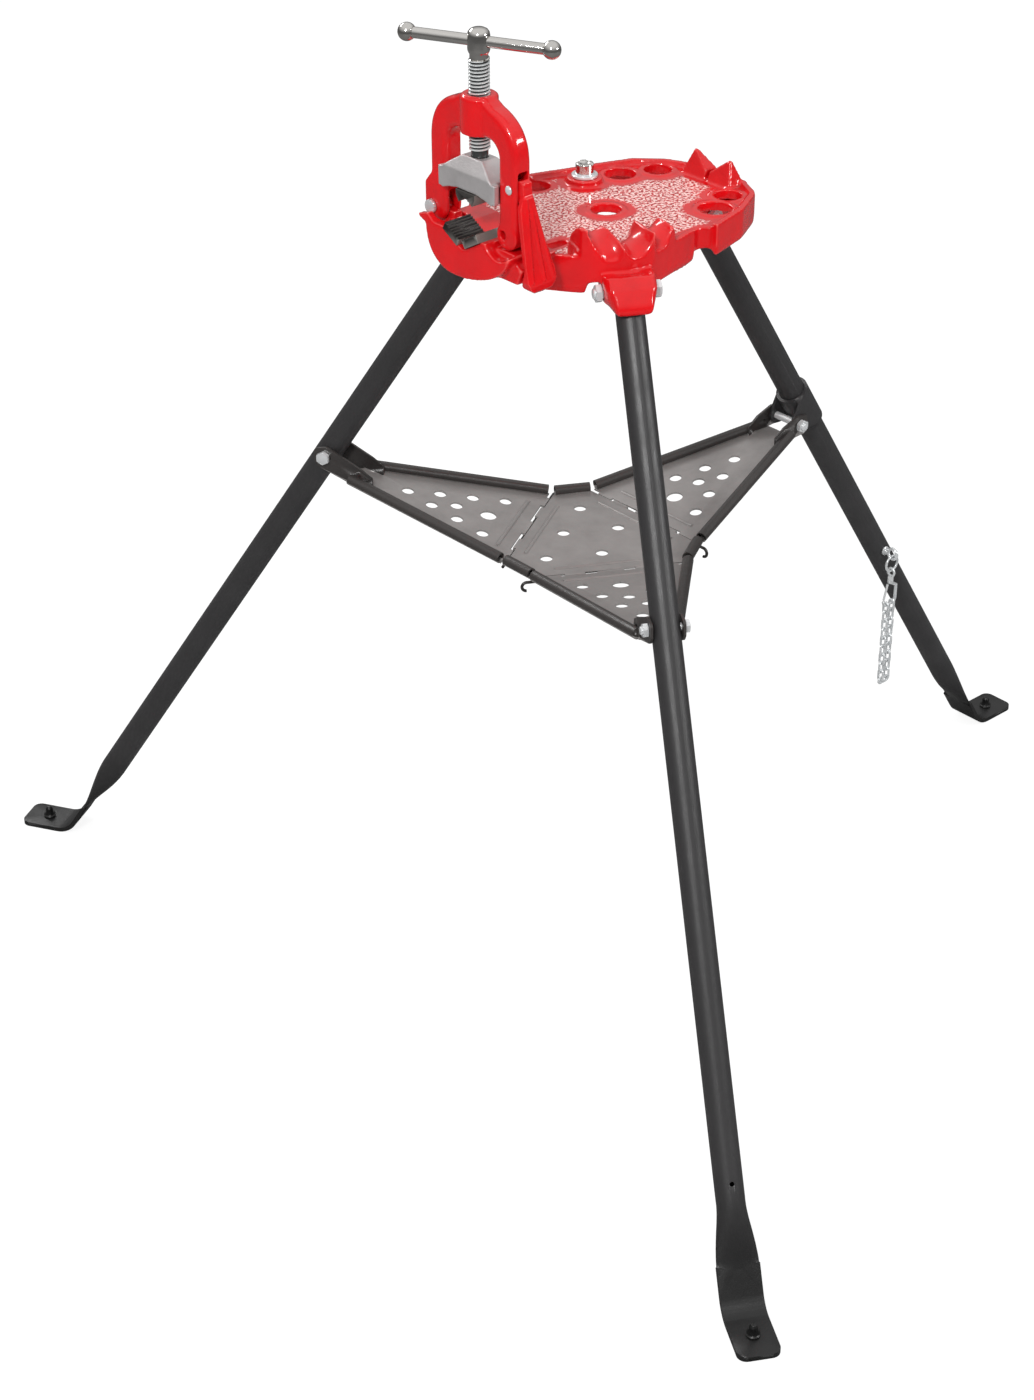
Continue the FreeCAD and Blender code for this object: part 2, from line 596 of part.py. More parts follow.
def arm_frame(shape):
    """Lift a shape drawn flat (x from the hinge line, z = 0 sheet middle) to the arm's slope."""
    shape = shape.copy()
    shape.rotate(V(0, 0, 0), V(0, 1, 0), -ARM_SLOPE)
    shape.translate(V(KNUCKLE_R, 0, TRAY_Z))
    return shape


def arm_holes():
    rows = [(36, 36, 6.2), (67, 24, 6.2), (98, 12.5, 6.2)]
    holes = [(u, s * v, r) for u, v, r in rows for s in (-1, 1)]
    return holes + [(42, 0, 8.2), (76, 0, 6.2), (128, 0, 6.2)]


def tray_arm(kind):
    """Perforated sheet arm with rolled long edges, a stiffening bead and two upright ears."""
    u0 = HINGE_GAP / 2
    top = SHEET / 2
    bolt = tray_bolt_point(kind)
    tip = (bolt.x - KNUCKLE_R) / math.cos(math.radians(ARM_SLOPE))
    tip -= ARM_BACK_REAR if kind == "rear" else ARM_BACK
    flat = [(u0, -SIDE_HALF), (tip, -ARM_TIP_HALF), (tip, ARM_TIP_HALF), (u0, SIDE_HALF)]
    sheet = prism_z(flat, -top, top)
    tongues = [box(u0 - 3.6, u0 + 1, v - 9, v + 9, -top, top) for v in (-58, 58)]
    tongues.append(box(u0 - 3.6, u0 + 1, -13, 13, -top, top))
    rims = []
    r = TRAY_RIM_OD / 2
    for s in (-1, 1):
        a = V(u0 + 1.5, s * (SIDE_HALF - 1), r - top)
        b = V(tip - 2, s * (ARM_TIP_HALF + 1), r - top)
        rims.append(rod(a, b, TRAY_RIM_OD))
    bead = rod((16, -50, top - 1.2), (16, 50, top - 1.2), 5.0)
    body = fuse(sheet, bead, *rims, *tongues)
    for x, y, hr in arm_holes():
        body = body.cut(Part.makeCylinder(hr, 20, V(x, y, -10)))
    for s in (-1, 1):
        a = V(u0 + 1.5, s * (SIDE_HALF - 1), r - top)
        b = V(tip - 2, s * (ARM_TIP_HALF + 1), r - top)
        n = (b - a).normalize()
        body = body.cut(Part.makeCylinder(r - 1.6, 30, a - n * 2, n))
    body = arm_frame(body)
    inner = bolt_seat(kind) + EAR_GAP
    start = arm_frame(Part.Vertex(V(tip - 26, 0, 0))).Point
    end = arm_frame(Part.Vertex(V(tip, 0, 0))).Point
    side = [(start.x, start.z - 1), (end.x, end.z - 1), (bolt.x + 6, bolt.z - 11), (bolt.x + 11, bolt.z - 4),
            (bolt.x + 9, bolt.z + 9), (bolt.x - 4, bolt.z + 11), (end.x - 14, end.z + 15),
            (start.x, start.z + TRAY_RIM_OD)]
    ears = []
    for s in (-1, 1):
        y0 = s * inner
        y1 = s * (inner + EAR_T)
        ear = prism_y(side, min(y0, y1), max(y0, y1))
        ears.append(round_edges(ear, 4.0, lambda e: e.CenterOfMass.x > bolt.x - 6
                                and abs(e.Vertexes[0].Y - e.Vertexes[-1].Y) > 1))
    body = fuse(body, *ears)
    slot = fuse(*[rod((bolt.x - dx, -40, bolt.z), (bolt.x - dx, 40, bolt.z), EAR_HOLE)
                  for dx in (0, EAR_SLOT)],
                box(bolt.x - EAR_SLOT, bolt.x, -40, 40, bolt.z - EAR_HOLE / 2, bolt.z + EAR_HOLE / 2))
    body = body.cut(slot)
    return spin_z(body, LEG_AZ[kind])


def tray_plate():
    """Centre sheet: three hinge sides, three short rolled edges, six holes and raised beads."""
    side_r = KNUCKLE_R - HINGE_GAP / 2
    pts = []
    for az in (0, 120, 240):
        for s in (-1, 1):
            u = V(math.cos(math.radians(az)), math.sin(math.radians(az)), 0)
            w = V(-u.y, u.x, 0)
            p = u * side_r + w * s * SIDE_HALF
            pts.append((p.x, p.y))
    z0, z1 = TRAY_Z - SHEET / 2, TRAY_Z + SHEET / 2
    body = prism_z(pts, z0, z1)
    adds = []
    for az in (0, 120, 240):
        tabs = [box(side_r - 1, side_r + 3.4, s * 35 - 10, s * 35 + 10, z0, z1) for s in (-1, 1)]
        bead = rod((side_r - 12, -52, z1 - 1.2), (side_r - 12, 52, z1 - 1.2), 5.0)
        adds += [spin_z(t, az) for t in tabs] + [spin_z(bead, az)]
        apex = side_r / math.cos(math.radians(60)) - (side_r * math.tan(math.radians(60)) - SIDE_HALF) \
            * math.cos(math.radians(30))
        half = (side_r * math.tan(math.radians(60)) - SIDE_HALF) / 2
        r = TRAY_RIM_OD / 2
        rim = rod((apex, -half + 1.0, z0 + r), (apex, half - 1.0, z0 + r), TRAY_RIM_OD)
        adds.append(spin_z(rim, az + 60))
    body = fuse(body, *adds)
    cuts = []
    for az in (60, 180, 300):
        a = math.radians(az)
        cuts.append(Part.makeCylinder(6.2, 20, V(64 * math.cos(a), 64 * math.sin(a), TRAY_Z - 10)))
        b = math.radians(az + 60)
        cuts.append(Part.makeCylinder(6.2, 20, V(32 * math.cos(b), 32 * math.sin(b), TRAY_Z - 10)))
        r = TRAY_RIM_OD / 2
        cuts.append(spin_z(rod((apex, -30, z0 + r), (apex, 30, z0 + r), TRAY_RIM_OD - 3.2), az))
    for tool in cuts:
        body = body.cut(tool)
    return body


def hinge_wires():
    wires = []
    for az in (0, 120, 240):
        z = TRAY_Z - SHEET / 2 - 1.8
        x = KNUCKLE_R
        wire = rod((x, -SIDE_HALF - 6, z), (x, SIDE_HALF + 2, z), 3.0)
        hook = torus(V(x, -SIDE_HALF - 6, z - 4.5), V(1, 0, 0), 4.5, 1.5)
        hook = hook.common(box(x - 5, x + 5, -SIDE_HALF - 20, -SIDE_HALF - 6, z - 12, z + 4))
        wires.append(spin_z(fuse(wire, hook), az))
    return Part.makeCompound(wires)


def tray_bolt(kind):
    p = tray_bolt_point(kind)
    half = bolt_seat(kind) + EAR_GAP + EAR_T + 0.1
    bolt = cross_bolt(p, TRAY_BOLT_D, half, 5.0, 12.0)
    nut = cross_nut(p, TRAY_BOLT_D, half, 5.0, 12.0)
    return spin_z(bolt, LEG_AZ[kind]), spin_z(nut, LEG_AZ[kind])


# ---------------------------------------------------------------- vise

def yoke():
    """Arched frame that carries the screw; forked foot on the pin side, plain foot opposite."""
    shoulder = YOKE_TOP - 8
    side = FORK_Y + FORK_R
    left = [(-YOKE_OUT, PIN_Z), (-YOKE_OUT, YOKE_TOP - 46), (-YOKE_OUT + 3, YOKE_TOP - 33),
            (-YOKE_OUT + 12, YOKE_TOP - 19), (-30, shoulder), (-16, YOKE_TOP)]
    right = [(-y, z) for y, z in reversed(left[1:])]
    right += above([(YOKE_OUT, 66), (side, 55)]) + [(side, FORK_Z), (YOKE_IN, FORK_Z)]
    inner = [(YOKE_IN, YOKE_IN_TOP), (-YOKE_IN, YOKE_IN_TOP), (-YOKE_IN, PIN_Z)]
    frame = prism_x(left + right + inner, YOKE_X0, YOKE_X1)
    foot = rod((YOKE_X0, FOOT_Y, PIN_Z), (YOKE_X1, FOOT_Y, PIN_Z), 2 * FOOT_R)
    fork = rod((YOKE_X0, FORK_Y, FORK_Z), (YOKE_X1, FORK_Y, FORK_Z), 2 * FORK_R)
    body = fuse(frame, foot, fork)
    inner_corner = [e for e in body.Edges if along_x(e) and abs(abs(e.CenterOfMass.y) - YOKE_IN) < 0.1
                    and abs(e.CenterOfMass.z - YOKE_IN_TOP) < 0.1]
    body = body.makeFillet(14.0, inner_corner)
    crown = [e for e in body.Edges if along_x(e) and e.CenterOfMass.z > YOKE_TOP - 51
             and abs(e.CenterOfMass.y) > 14 and e.CenterOfMass.z != YOKE_IN_TOP
             and (abs(e.CenterOfMass.y) > 40 or e.CenterOfMass.z > YOKE_TOP - 21)]
    body = body.makeFillet(8.0, crown)
    body = round_edges(body, 5.5, lambda e: (abs(e.CenterOfMass.x - YOKE_X0) < 0.01
                                             or abs(e.CenterOfMass.x - YOKE_X1) < 0.01)
                       and e.CenterOfMass.z > TABLE_Z + 72)
    boss = Part.makeCylinder(17, YOKE_TOP - YOKE_IN_TOP, V(SCREW_X, 0, YOKE_IN_TOP))
    boss = boss.fuse(Part.makeCone(17, 14.5, 2, V(SCREW_X, 0, YOKE_TOP)))
    body = fuse(body, boss)
    mid = (YOKE_X0 + YOKE_X1) / 2
    cuts = [Part.makeCylinder((SCREW_D + RUN) / 2, 60, V(SCREW_X, 0, YOKE_TOP - 51)),
            box(mid - 5.7, mid + 5.7, YOKE_IN - 1, 90, TABLE_Z, PIN_Z + 20),
            rod((YOKE_X0 - 1, PIN_Y, PIN_Z), (YOKE_X1 + 1, PIN_Y, PIN_Z), PIN_D + RUN),
            rod((YOKE_X0 - 1, FOOT_Y + 5, PIN_Z), (YOKE_X1 + 1, FOOT_Y + 5, PIN_Z), 7.5),
            box(mid - 5.7, mid + 5.7, -70, HOOK_PIN_Y + 9.5, HOOK_PIN_Z - 14, HOOK_PIN_Z + 16),
            rod((YOKE_X0 - 1, HOOK_PIN_Y, HOOK_PIN_Z), (YOKE_X1 + 1, HOOK_PIN_Y, HOOK_PIN_Z), 6.04)]
    for tool in cuts:
        body = body.cut(tool)
    return body


def yoke_pin():
    x0, x1 = YOKE_X0 - 0.1, YOKE_X1 + 0.1
    shank = rod((x0, PIN_Y, PIN_Z), (x1 + 4, PIN_Y, PIN_Z), PIN_D)
    head = rod((x0 - 3, PIN_Y, PIN_Z), (x0, PIN_Y, PIN_Z), PIN_D + 3)
    ring = rod((x1, PIN_Y, PIN_Z), (x1 + 2, PIN_Y, PIN_Z), PIN_D + 4)
    return fuse(shank, head, ring)


def hook_rivet():
    x0, x1 = YOKE_X0 - 0.1, YOKE_X1 + 0.1
    shank = rod((x0, HOOK_PIN_Y, HOOK_PIN_Z), (x1, HOOK_PIN_Y, HOOK_PIN_Z), 6.0)
    heads = []
    for x, s in ((x0, -1), (x1, 1)):
        ball = Part.makeSphere(5.5, V(x - s * 3.5, HOOK_PIN_Y, HOOK_PIN_Z))
        room = box(min(x, x + s * 4), max(x, x + s * 4), -60, -40, HOOK_PIN_Z - 10, HOOK_PIN_Z + 10)
        heads.append(ball.common(room))
    return fuse(shank, *heads)


def hook_latch():
    """Swinging catch: narrow eye in the yoke slot, ribbed tongue that flares downwards and a lip."""
    mid = (YOKE_X0 + YOKE_X1) / 2
    face = -YOKE_OUT - 1.5
    eye = rod((mid - 5.4, HOOK_PIN_Y, HOOK_PIN_Z), (mid + 5.4, HOOK_PIN_Y, HOOK_PIN_Z), 15)
    neck = above([(-46, 86.5), (face, 90), (-63, 85), (-63, 72), (face, 68), (-46, 74)])
    neck = prism_x(neck, mid - 5.4, mid + 5.4)
    side = above([(face, 89), (-62.5, 88), (-65, 60), (-71, 15), (-75, -3), (-74, -9.5), (-69.5, -13),
                  (-64, -10.5), (-62.6, -6), (-67.3, 6), (-68.2, 12), (-66, 16), (-61, 50), (face, 72)])
    wide = prism_x(side, mid - 27, mid + 27)
    # seen from the near side: straight towards the front, flared towards the table
    front = above([(mid - 5.4, 92), (mid - 5.4, 77), (mid - 9.5, 66), (mid - 9.5, 0), (mid - 6, -7.5),
                   (mid + 1, -12.4), (mid + 12, -13.2), (mid + 19.5, -9), (mid + 24, -1), (mid + 23.6, 7),
                   (mid + 12, 50), (mid + 5.4, 77), (mid + 5.4, 92)])
    front = prism_y(front, -90, -50)
    tongue = wide.common(front)
    ribs = []
    for top_x, low_x in ((-3.2, -4.5), (0.5, 9.5), (3.2, 20)):
        a = V(mid + top_x, -63.5, TABLE_Z + 74)
        b = V(mid + low_x, -73.2, TABLE_Z)
        rib = rod(a, b, 4.6)
        ribs.append(fuse(rib, Part.makeSphere(2.3, a), Part.makeSphere(2.3, b)))
    body = fuse(eye, neck, tongue, *ribs)
    return body.cut(rod((mid - 10, HOOK_PIN_Y, HOOK_PIN_Z), (mid + 10, HOOK_PIN_Y, HOOK_PIN_Z), 6 + RUN))


def jaw_holder():
    """Arched block that slides between the yoke arms; lips run in front of and behind them."""
    arch = above([(-33.4, 61.8), (-24, 65), (-13, 67), (13, 67), (24, 65), (33.4, 61.8), (33.4, 82),
                  (24, 89), (13, 96), (-13, 96), (-24, 89), (-33.4, 82)])
    mid = (YOKE_X0 + YOKE_X1) / 2
    core = prism_x(arch, mid - 17, mid + 17)
    slope = above([(mid - 17, 50), (mid - 17, 83.5), (mid - 9, 96), (mid + 9, 96), (mid + 17, 83.5),
                   (mid + 17, 50)])
    core = core.common(prism_y(slope, -60, 60))
    core = round_edges(core, 1.6, lambda e: abs(abs(e.CenterOfMass.x - mid) - 17) < 0.01)
    lips = []
    for x0, x1 in ((mid - 17, YOKE_X0 - CLEAR), (YOKE_X1 + CLEAR, mid + 17)):
        for s in (-1, 1):
            y = sorted((s * 30, s * 37.5))
            lips.append(box(x0, x1, y[0], y[1], TABLE_Z + 63.5, TABLE_Z + 82))
    body = fuse(core, *lips)
    return body.cut(Part.makeCylinder(SCREW_D / 2 - 2 + 0.2, 20, V(SCREW_X, 0, SCREW_TIP_Z - 0.3)))


def lower_jaw(side):
    """Serrated block lying on one flank of the V seat; the teeth run along X."""
    corners, run = jaw_corners(side)
    x0, x1 = JAW_X0, JAW_X1
    body = prism_x([(v.y, v.z) for v in corners], x0, x1)
    tip, end = corners[0], corners[1]
    count = 7
    step = (end - tip) * (1.0 / count)
    out = (corners[0] - corners[3]).normalize()
    for k in range(count):
        p = tip + step * k
        valley = p + step * 0.5 - out * 1.6
        groove = [p + out * 0.3, valley, p + step + out * 0.3]
        body = body.cut(prism_x([(v.y, v.z) for v in groove], x0 - 1, x1 + 1))
    return body


def upper_jaw():
    pts = above([(-12.5, 66.7), (12.5, 66.7), (12.5, 62), (9, 55.5), (0, 61), (-9, 55.5), (-12.5, 62)])
    mid = (YOKE_X0 + YOKE_X1) / 2
    body = prism_x(pts, mid - 18, mid + 18)
    for s in (-1, 1):
        for k in range(3):
            y = s * (2.2 + 2.4 * k)
            z = TABLE_Z + 61 - abs(y) / 9 * 5.5
            body = body.cut(prism_x([(y - 1.1, z - 1.5), (y, z + 1.4), (y + 1.1, z - 1.5)],
                                    mid - 20, mid + 20))
    return body


def vise_screw():
    """Screw with a drilled barrel head for the sliding bar."""
    x = SCREW_X
    z0 = HANDLE_Z - HEAD_LOW
    neck_z = z0 - 6
    tip = Part.makeCylinder(SCREW_D / 2 - 2, 10.5, V(x, 0, SCREW_TIP_Z))
    cone = Part.makeCone(SCREW_D / 2 - 2, SCREW_D / 2, 2.5, V(x, 0, SCREW_TIP_Z + 10.4))
    shank_z = SCREW_TIP_Z + 12.9
    shank = Part.makeCylinder(SCREW_D / 2, neck_z - shank_z, V(x, 0, shank_z))
    neck = Part.makeCylinder(HEAD_D / 2 - 1.6, 4, V(x, 0, neck_z))
    head = Part.makeCone(HEAD_D / 2 - 1.6, HEAD_D / 2, 3.0, V(x, 0, z0 - 3))
    barrel = Part.makeCylinder(HEAD_D / 2, HEAD_LOW + HEAD_HIGH, V(x, 0, z0))
    top = HANDLE_Z + HEAD_HIGH
    crown_r = 1.25 * HEAD_D / 2
    crown = Part.makeSphere(crown_r, V(x, 0, top - math.sqrt(crown_r ** 2 - HEAD_D ** 2 / 4)))
    crown = crown.common(Part.makeCylinder(HEAD_D / 2, crown_r, V(x, 0, top - 2)))
    body = fuse(tip, cone, shank, neck, head, barrel, crown)
    a = math.radians(HANDLE_AZ)
    d = V(math.cos(a), math.sin(a), 0)
    c = V(x, 0, HANDLE_Z)
    return body.cut(Part.makeCylinder((BAR_D + RUN) / 2, 2 * HEAD_D, c - d * HEAD_D, d))


def handle():
    a = math.radians(HANDLE_AZ)
    d = V(math.cos(a), math.sin(a), 0)
    c = V(SCREW_X, 0, HANDLE_Z)
    half = HANDLE_LEN / 2
    bar = Part.makeCylinder(BAR_D / 2, HANDLE_LEN, c - d * half, d)
    balls = []
    for s in (-1, 1):
        ball = Part.makeSphere(BALL_D / 2, c + d * s * half)
        socket_hole = Part.makeCylinder(BAR_D / 2 + 0.02, HANDLE_LEN + 0.1, c - d * (half + 0.05), d)
        balls.append(ball.cut(socket_hole))
    return bar, Part.makeCompound(balls)


# ---------------------------------------------------------------- ceiling brace

def brace_screw():
    x, y = BRACE
    thread = Part.makeCylinder(BRACE_D / 2, 70, V(x, y, TABLE_Z - 62))
    flange = Part.makeCylinder(12.6, 2.6, V(x, y, TABLE_Z + 6.3))
    nut = Part.makeCylinder(9.6, 1.5, V(x, y, TABLE_Z + 8.9))
    spigot = Part.makeCylinder(SPIGOT_D / 2, 6, V(x, y, TABLE_Z + 10.4))
    return fuse(thread, flange, nut, spigot)


def brace_crown():
    """Loose crown that turns on the brace screw and bears on the ceiling or a pipe."""
    x, y = BRACE
    z = TABLE_Z + 10.6
    body = Part.makeCylinder(8.7, 9.2, V(x, y, z))
    body = round_edges(body, 1.8, lambda e: e.CenterOfMass.z > z + 9)
    for az in (0, 90):
        slot = rod((x - 20, y, z + 11.2), (x + 20, y, z + 11.2), 7)
        slot.rotate(V(x, y, 0), V(0, 0, 1), az + 20)
        body = body.cut(slot)
    return body.cut(Part.makeCylinder(SPIGOT_D / 2 + 0.15, 6.2, V(x, y, z - 0.2)))


# ---------------------------------------------------------------- export

save("vise_table", vise_table())
save("lower_jaw_left", lower_jaw(1))
save("lower_jaw_right", lower_jaw(-1))
save("yoke_pin", yoke_pin())
save("yoke", yoke())
save("hook_rivet", hook_rivet())
save("hook_latch", hook_latch())
save("jaw_holder", jaw_holder())
save("upper_jaw", upper_jaw())
save("vise_screw", vise_screw())
handle_bar, handle_balls = handle()
save("handle_bar", handle_bar)
save("handle_balls", handle_balls)
save("brace_screw", brace_screw())
save("brace_crown", brace_crown())
all_bolts, all_nuts = leg_bolts()
save("leg_bolts", all_bolts)
save("leg_nuts", all_nuts)
for kind in LEG_AZ:
    save("leg_" + kind, leg(kind))
    save("foot_stud_" + kind, foot_stud(kind))
    save("tray_arm_" + kind, tray_arm(kind))
    bolt, nut = tray_bolt(kind)
    save("tray_bolt_" + kind, bolt)
    save("tray_nut_" + kind, nut)
save("rear_collar", rear_collar())
save("tray_plate", tray_plate())
save("hinge_wires", hinge_wires())
save("chain_eye", chain_eye())
save("chain_ring", chain_ring())
save("snap_hook", snap_hook())
save("snap_gate", snap_gate())
save("chain_links", chain_links())
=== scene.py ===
"""Looks of a tripod pipe vise stand: finishes, fine forms and a plain pale studio."""
import json
import logging
import math
from dataclasses import dataclass, field
from enum import Enum
from typing import Sequence

import bpy
from mathutils import Matrix, Vector

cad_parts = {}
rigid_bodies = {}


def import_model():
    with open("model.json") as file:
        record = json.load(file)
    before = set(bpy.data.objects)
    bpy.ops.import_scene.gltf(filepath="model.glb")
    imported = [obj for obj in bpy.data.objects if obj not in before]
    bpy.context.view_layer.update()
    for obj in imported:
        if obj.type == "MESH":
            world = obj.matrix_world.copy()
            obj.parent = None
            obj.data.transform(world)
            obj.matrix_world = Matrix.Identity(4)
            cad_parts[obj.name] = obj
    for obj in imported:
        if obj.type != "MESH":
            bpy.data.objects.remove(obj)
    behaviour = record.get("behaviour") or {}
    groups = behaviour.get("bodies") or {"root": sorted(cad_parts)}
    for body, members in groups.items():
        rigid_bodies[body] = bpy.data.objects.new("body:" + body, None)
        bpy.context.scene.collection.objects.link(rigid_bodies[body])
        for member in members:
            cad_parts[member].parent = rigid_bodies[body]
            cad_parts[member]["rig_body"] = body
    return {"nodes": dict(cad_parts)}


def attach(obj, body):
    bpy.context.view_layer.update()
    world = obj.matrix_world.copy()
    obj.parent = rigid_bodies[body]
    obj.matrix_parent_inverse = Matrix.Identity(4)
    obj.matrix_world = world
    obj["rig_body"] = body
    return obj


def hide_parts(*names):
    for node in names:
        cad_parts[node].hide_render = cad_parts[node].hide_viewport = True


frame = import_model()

LOG = logging.getLogger("pipe_vise_stand")
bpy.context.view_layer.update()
MM = 0.001
TABLE_X = -164.771          # the table's centre line, in mm from the row frame's origin
# each leg's azimuth in degrees and its pivot's distance from the centre line in mm
PIVOTS = {"front_far": (120.0, 115.0), "front_near": (-120.0, 115.0), "rear": (0.0, 126.0)}
PIVOT_Z = 775.0             # height of the legs' pivots, in mm
EDGE_HIGHLIGHT_SPAN = (0.53, 0.60)    # pointiness over which the painted highlight on an edge starts to show and shows in full
CORNER_SHADE_SPAN = (0.47, 0.41)     # the same for the painted shade in a corner
Colour = tuple[float, float, float]


def at(x: float, y: float, z: float) -> Vector:
    """A point drawn about the table's centre, in mm, as a row-frame point in metres.

    Args:
        x: Along the clamped pipe.
        y: Across it.
        z: Height above the floor.

    Returns:
        The point in metres.
    """
    return Vector(((x + TABLE_X) * MM, y * MM, z * MM))


class Slot(Enum):
    """The record's material slots."""

    RED = "red_paint"
    BLACK = "black_coat"
    GREY = "grey_paint"
    ZINC = "zinc"
    CHROME = "chrome"
    JAW = "jaw_steel"
    SATIN = "satin_steel"
    STUD = "black_steel"


# ---------------------------------------------------------------- shader helpers


@dataclass
class Graph:
    """A thin layer over a node tree, so that finishes read as short recipes.

    Attributes:
        tree: The material's or group's node tree.
    """

    tree: bpy.types.NodeTree

    def node(self, kind: str | bpy.types.NodeTree, **sockets: object) -> bpy.types.Node:
        """Adds a node and fills its inputs.

        Args:
            kind: The node's type name, or the shared group that it places.
            **sockets: Input names with underscores for spaces, each a value or a socket to link.

        Returns:
            The new node.
        """
        shared = isinstance(kind, bpy.types.NodeTree)
        made = self.tree.nodes.new("ShaderNodeGroup" if shared else kind)
        if shared:
            made.node_tree = kind
        for name, value in sockets.items():
            self.feed(made.inputs[name.replace("_", " ")], value)
        return made

    def feed(self, socket: bpy.types.NodeSocket, value: object) -> None:
        """Links or sets one input.

        Args:
            socket: The input.
            value: Another node's output, or a plain value.
        """
        if isinstance(value, bpy.types.NodeSocket):
            self.tree.links.new(value, socket)
        elif isinstance(value, tuple) and len(value) == 3 and socket.type == "RGBA":
            socket.default_value = (*value, 1.0)
        else:
            socket.default_value = value

    def place(self) -> bpy.types.NodeSocket:
        """Object coordinates, which are the row frame's."""
        return self.node("ShaderNodeTexCoord").outputs["Object"]

    def noise(self, scale: float, detail: float = 2.0, rough: float = 0.5) -> bpy.types.NodeSocket:
        """Fractal noise in the object's own space.

        Args:
            scale: Features per metre.
            detail: Octaves.
            rough: How strong the finer octaves are.

        Returns:
            The noise value.
        """
        made = self.node("ShaderNodeTexNoise", Vector=self.place(), Scale=scale, Detail=detail, Roughness=rough)
        return made.outputs["Fac"]

    def ramp(self, value: object, low: float, high: float, to_low: float = 0.0,
             to_high: float = 1.0) -> bpy.types.NodeSocket:
        """Maps a value from one range to another, held at the ends.

        Args:
            value: The input socket.
            low: Where the output is to_low.
            high: Where the output is to_high.
            to_low: Output at low.
            to_high: Output at high.

        Returns:
            The mapped value.
        """
        made = self.node("ShaderNodeMapRange", Value=value)
        made.inputs["From Min"].default_value = low
        made.inputs["From Max"].default_value = high
        made.inputs["To Min"].default_value = to_low
        made.inputs["To Max"].default_value = to_high
        return made.outputs["Result"]

    def math(self, how: str, a: object, b: object = 0.0) -> bpy.types.NodeSocket:
        """One arithmetic step.

        Args:
            how: The operation, such as MULTIPLY.
            a: First operand.
            b: Second operand.

        Returns:
            The result.
        """
        made = self.tree.nodes.new("ShaderNodeMath")
        made.operation = how
        self.feed(made.inputs[0], a)
        self.feed(made.inputs[1], b)
        return made.outputs[0]

    def mix(self, share: object, a: object, b: object) -> bpy.types.NodeSocket:
        """Mixes two colours.

        Args:
            share: How much of b.
            a: First colour.
            b: Second colour.

        Returns:
            The mixed colour.
        """
        made = self.tree.nodes.new("ShaderNodeMix")
        made.data_type = "RGBA"
        self.feed(made.inputs[0], share)
        self.feed(made.inputs[6], a)
        self.feed(made.inputs[7], b)
        return made.outputs[2]


def new_group(name: str, inputs: Sequence[tuple[str, str, object]], outputs: Sequence[tuple[str, str]]
              ) -> tuple[bpy.types.NodeTree, Graph, bpy.types.Node, bpy.types.Node]:
    """Starts a shader group with named sockets.

    Args:
        name: The group's name.
        inputs: Name, kind and start value of each input.
        outputs: Name and kind of each output.

    Returns:
        The tree, its graph, and the input and output nodes.
    """
    tree = bpy.data.node_groups.new(name, "ShaderNodeTree")
    kinds = {"value": "NodeSocketFloat", "colour": "NodeSocketColor", "vector": "NodeSocketVector"}
    for label, kind, start in inputs:
        made = tree.interface.new_socket(name=label, in_out="INPUT", socket_type=kinds[kind])
        made.default_value = (*start, 1.0) if kind == "colour" else start
    for label, kind in outputs:
        tree.interface.new_socket(name=label, in_out="OUTPUT", socket_type=kinds[kind])
    graph = Graph(tree)
    return tree, graph, tree.nodes.new("NodeGroupInput"), tree.nodes.new("NodeGroupOutput")


def paint_with_painted_light_group() -> bpy.types.NodeTree:
    """A paint colour that clouds a little, with a painted highlight on edges and painted shade in corners.

    Returns:
        The shared group, with outputs Colour, Edge and Cloud.
    """
    inputs = [("Colour", "colour", (0.5, 0.5, 0.5)), ("Edge colour", "colour", (0.8, 0.8, 0.8)),
              ("Edge amount", "value", 0.3), ("Cloud amount", "value", 0.15), ("Pit amount", "value", 0.35)]
    tree, g, entry, end = new_group("clouded_paint_and_painted_light", inputs,
                                    [("Colour", "colour"), ("Edge", "value"), ("Cloud", "value")])
    cloud = g.noise(28.0, 4.0, 0.6)
    point = g.node("ShaderNodeNewGeometry").outputs["Pointiness"]
    # edges get a painted highlight, corners get painted shade
    edge = g.ramp(point, *EDGE_HIGHLIGHT_SPAN)
    corner_shade = g.ramp(point, *CORNER_SHADE_SPAN)
    dark = g.mix(g.math("MULTIPLY", g.ramp(cloud, 0.35, 0.75), entry.outputs["Cloud amount"]),
                 entry.outputs["Colour"], (0.0, 0.0, 0.0))
    # painted shade in corners
    dark = g.mix(g.math("MULTIPLY", corner_shade, entry.outputs["Pit amount"]), dark, (0.0, 0.0, 0.0))
    # painted highlight on edges
    lit = g.mix(g.math("MULTIPLY", edge, entry.outputs["Edge amount"]), dark, entry.outputs["Edge colour"])
    g.feed(end.inputs["Colour"], lit)
    g.feed(end.inputs["Edge"], edge)
    g.feed(end.inputs["Cloud"], cloud)
    return tree


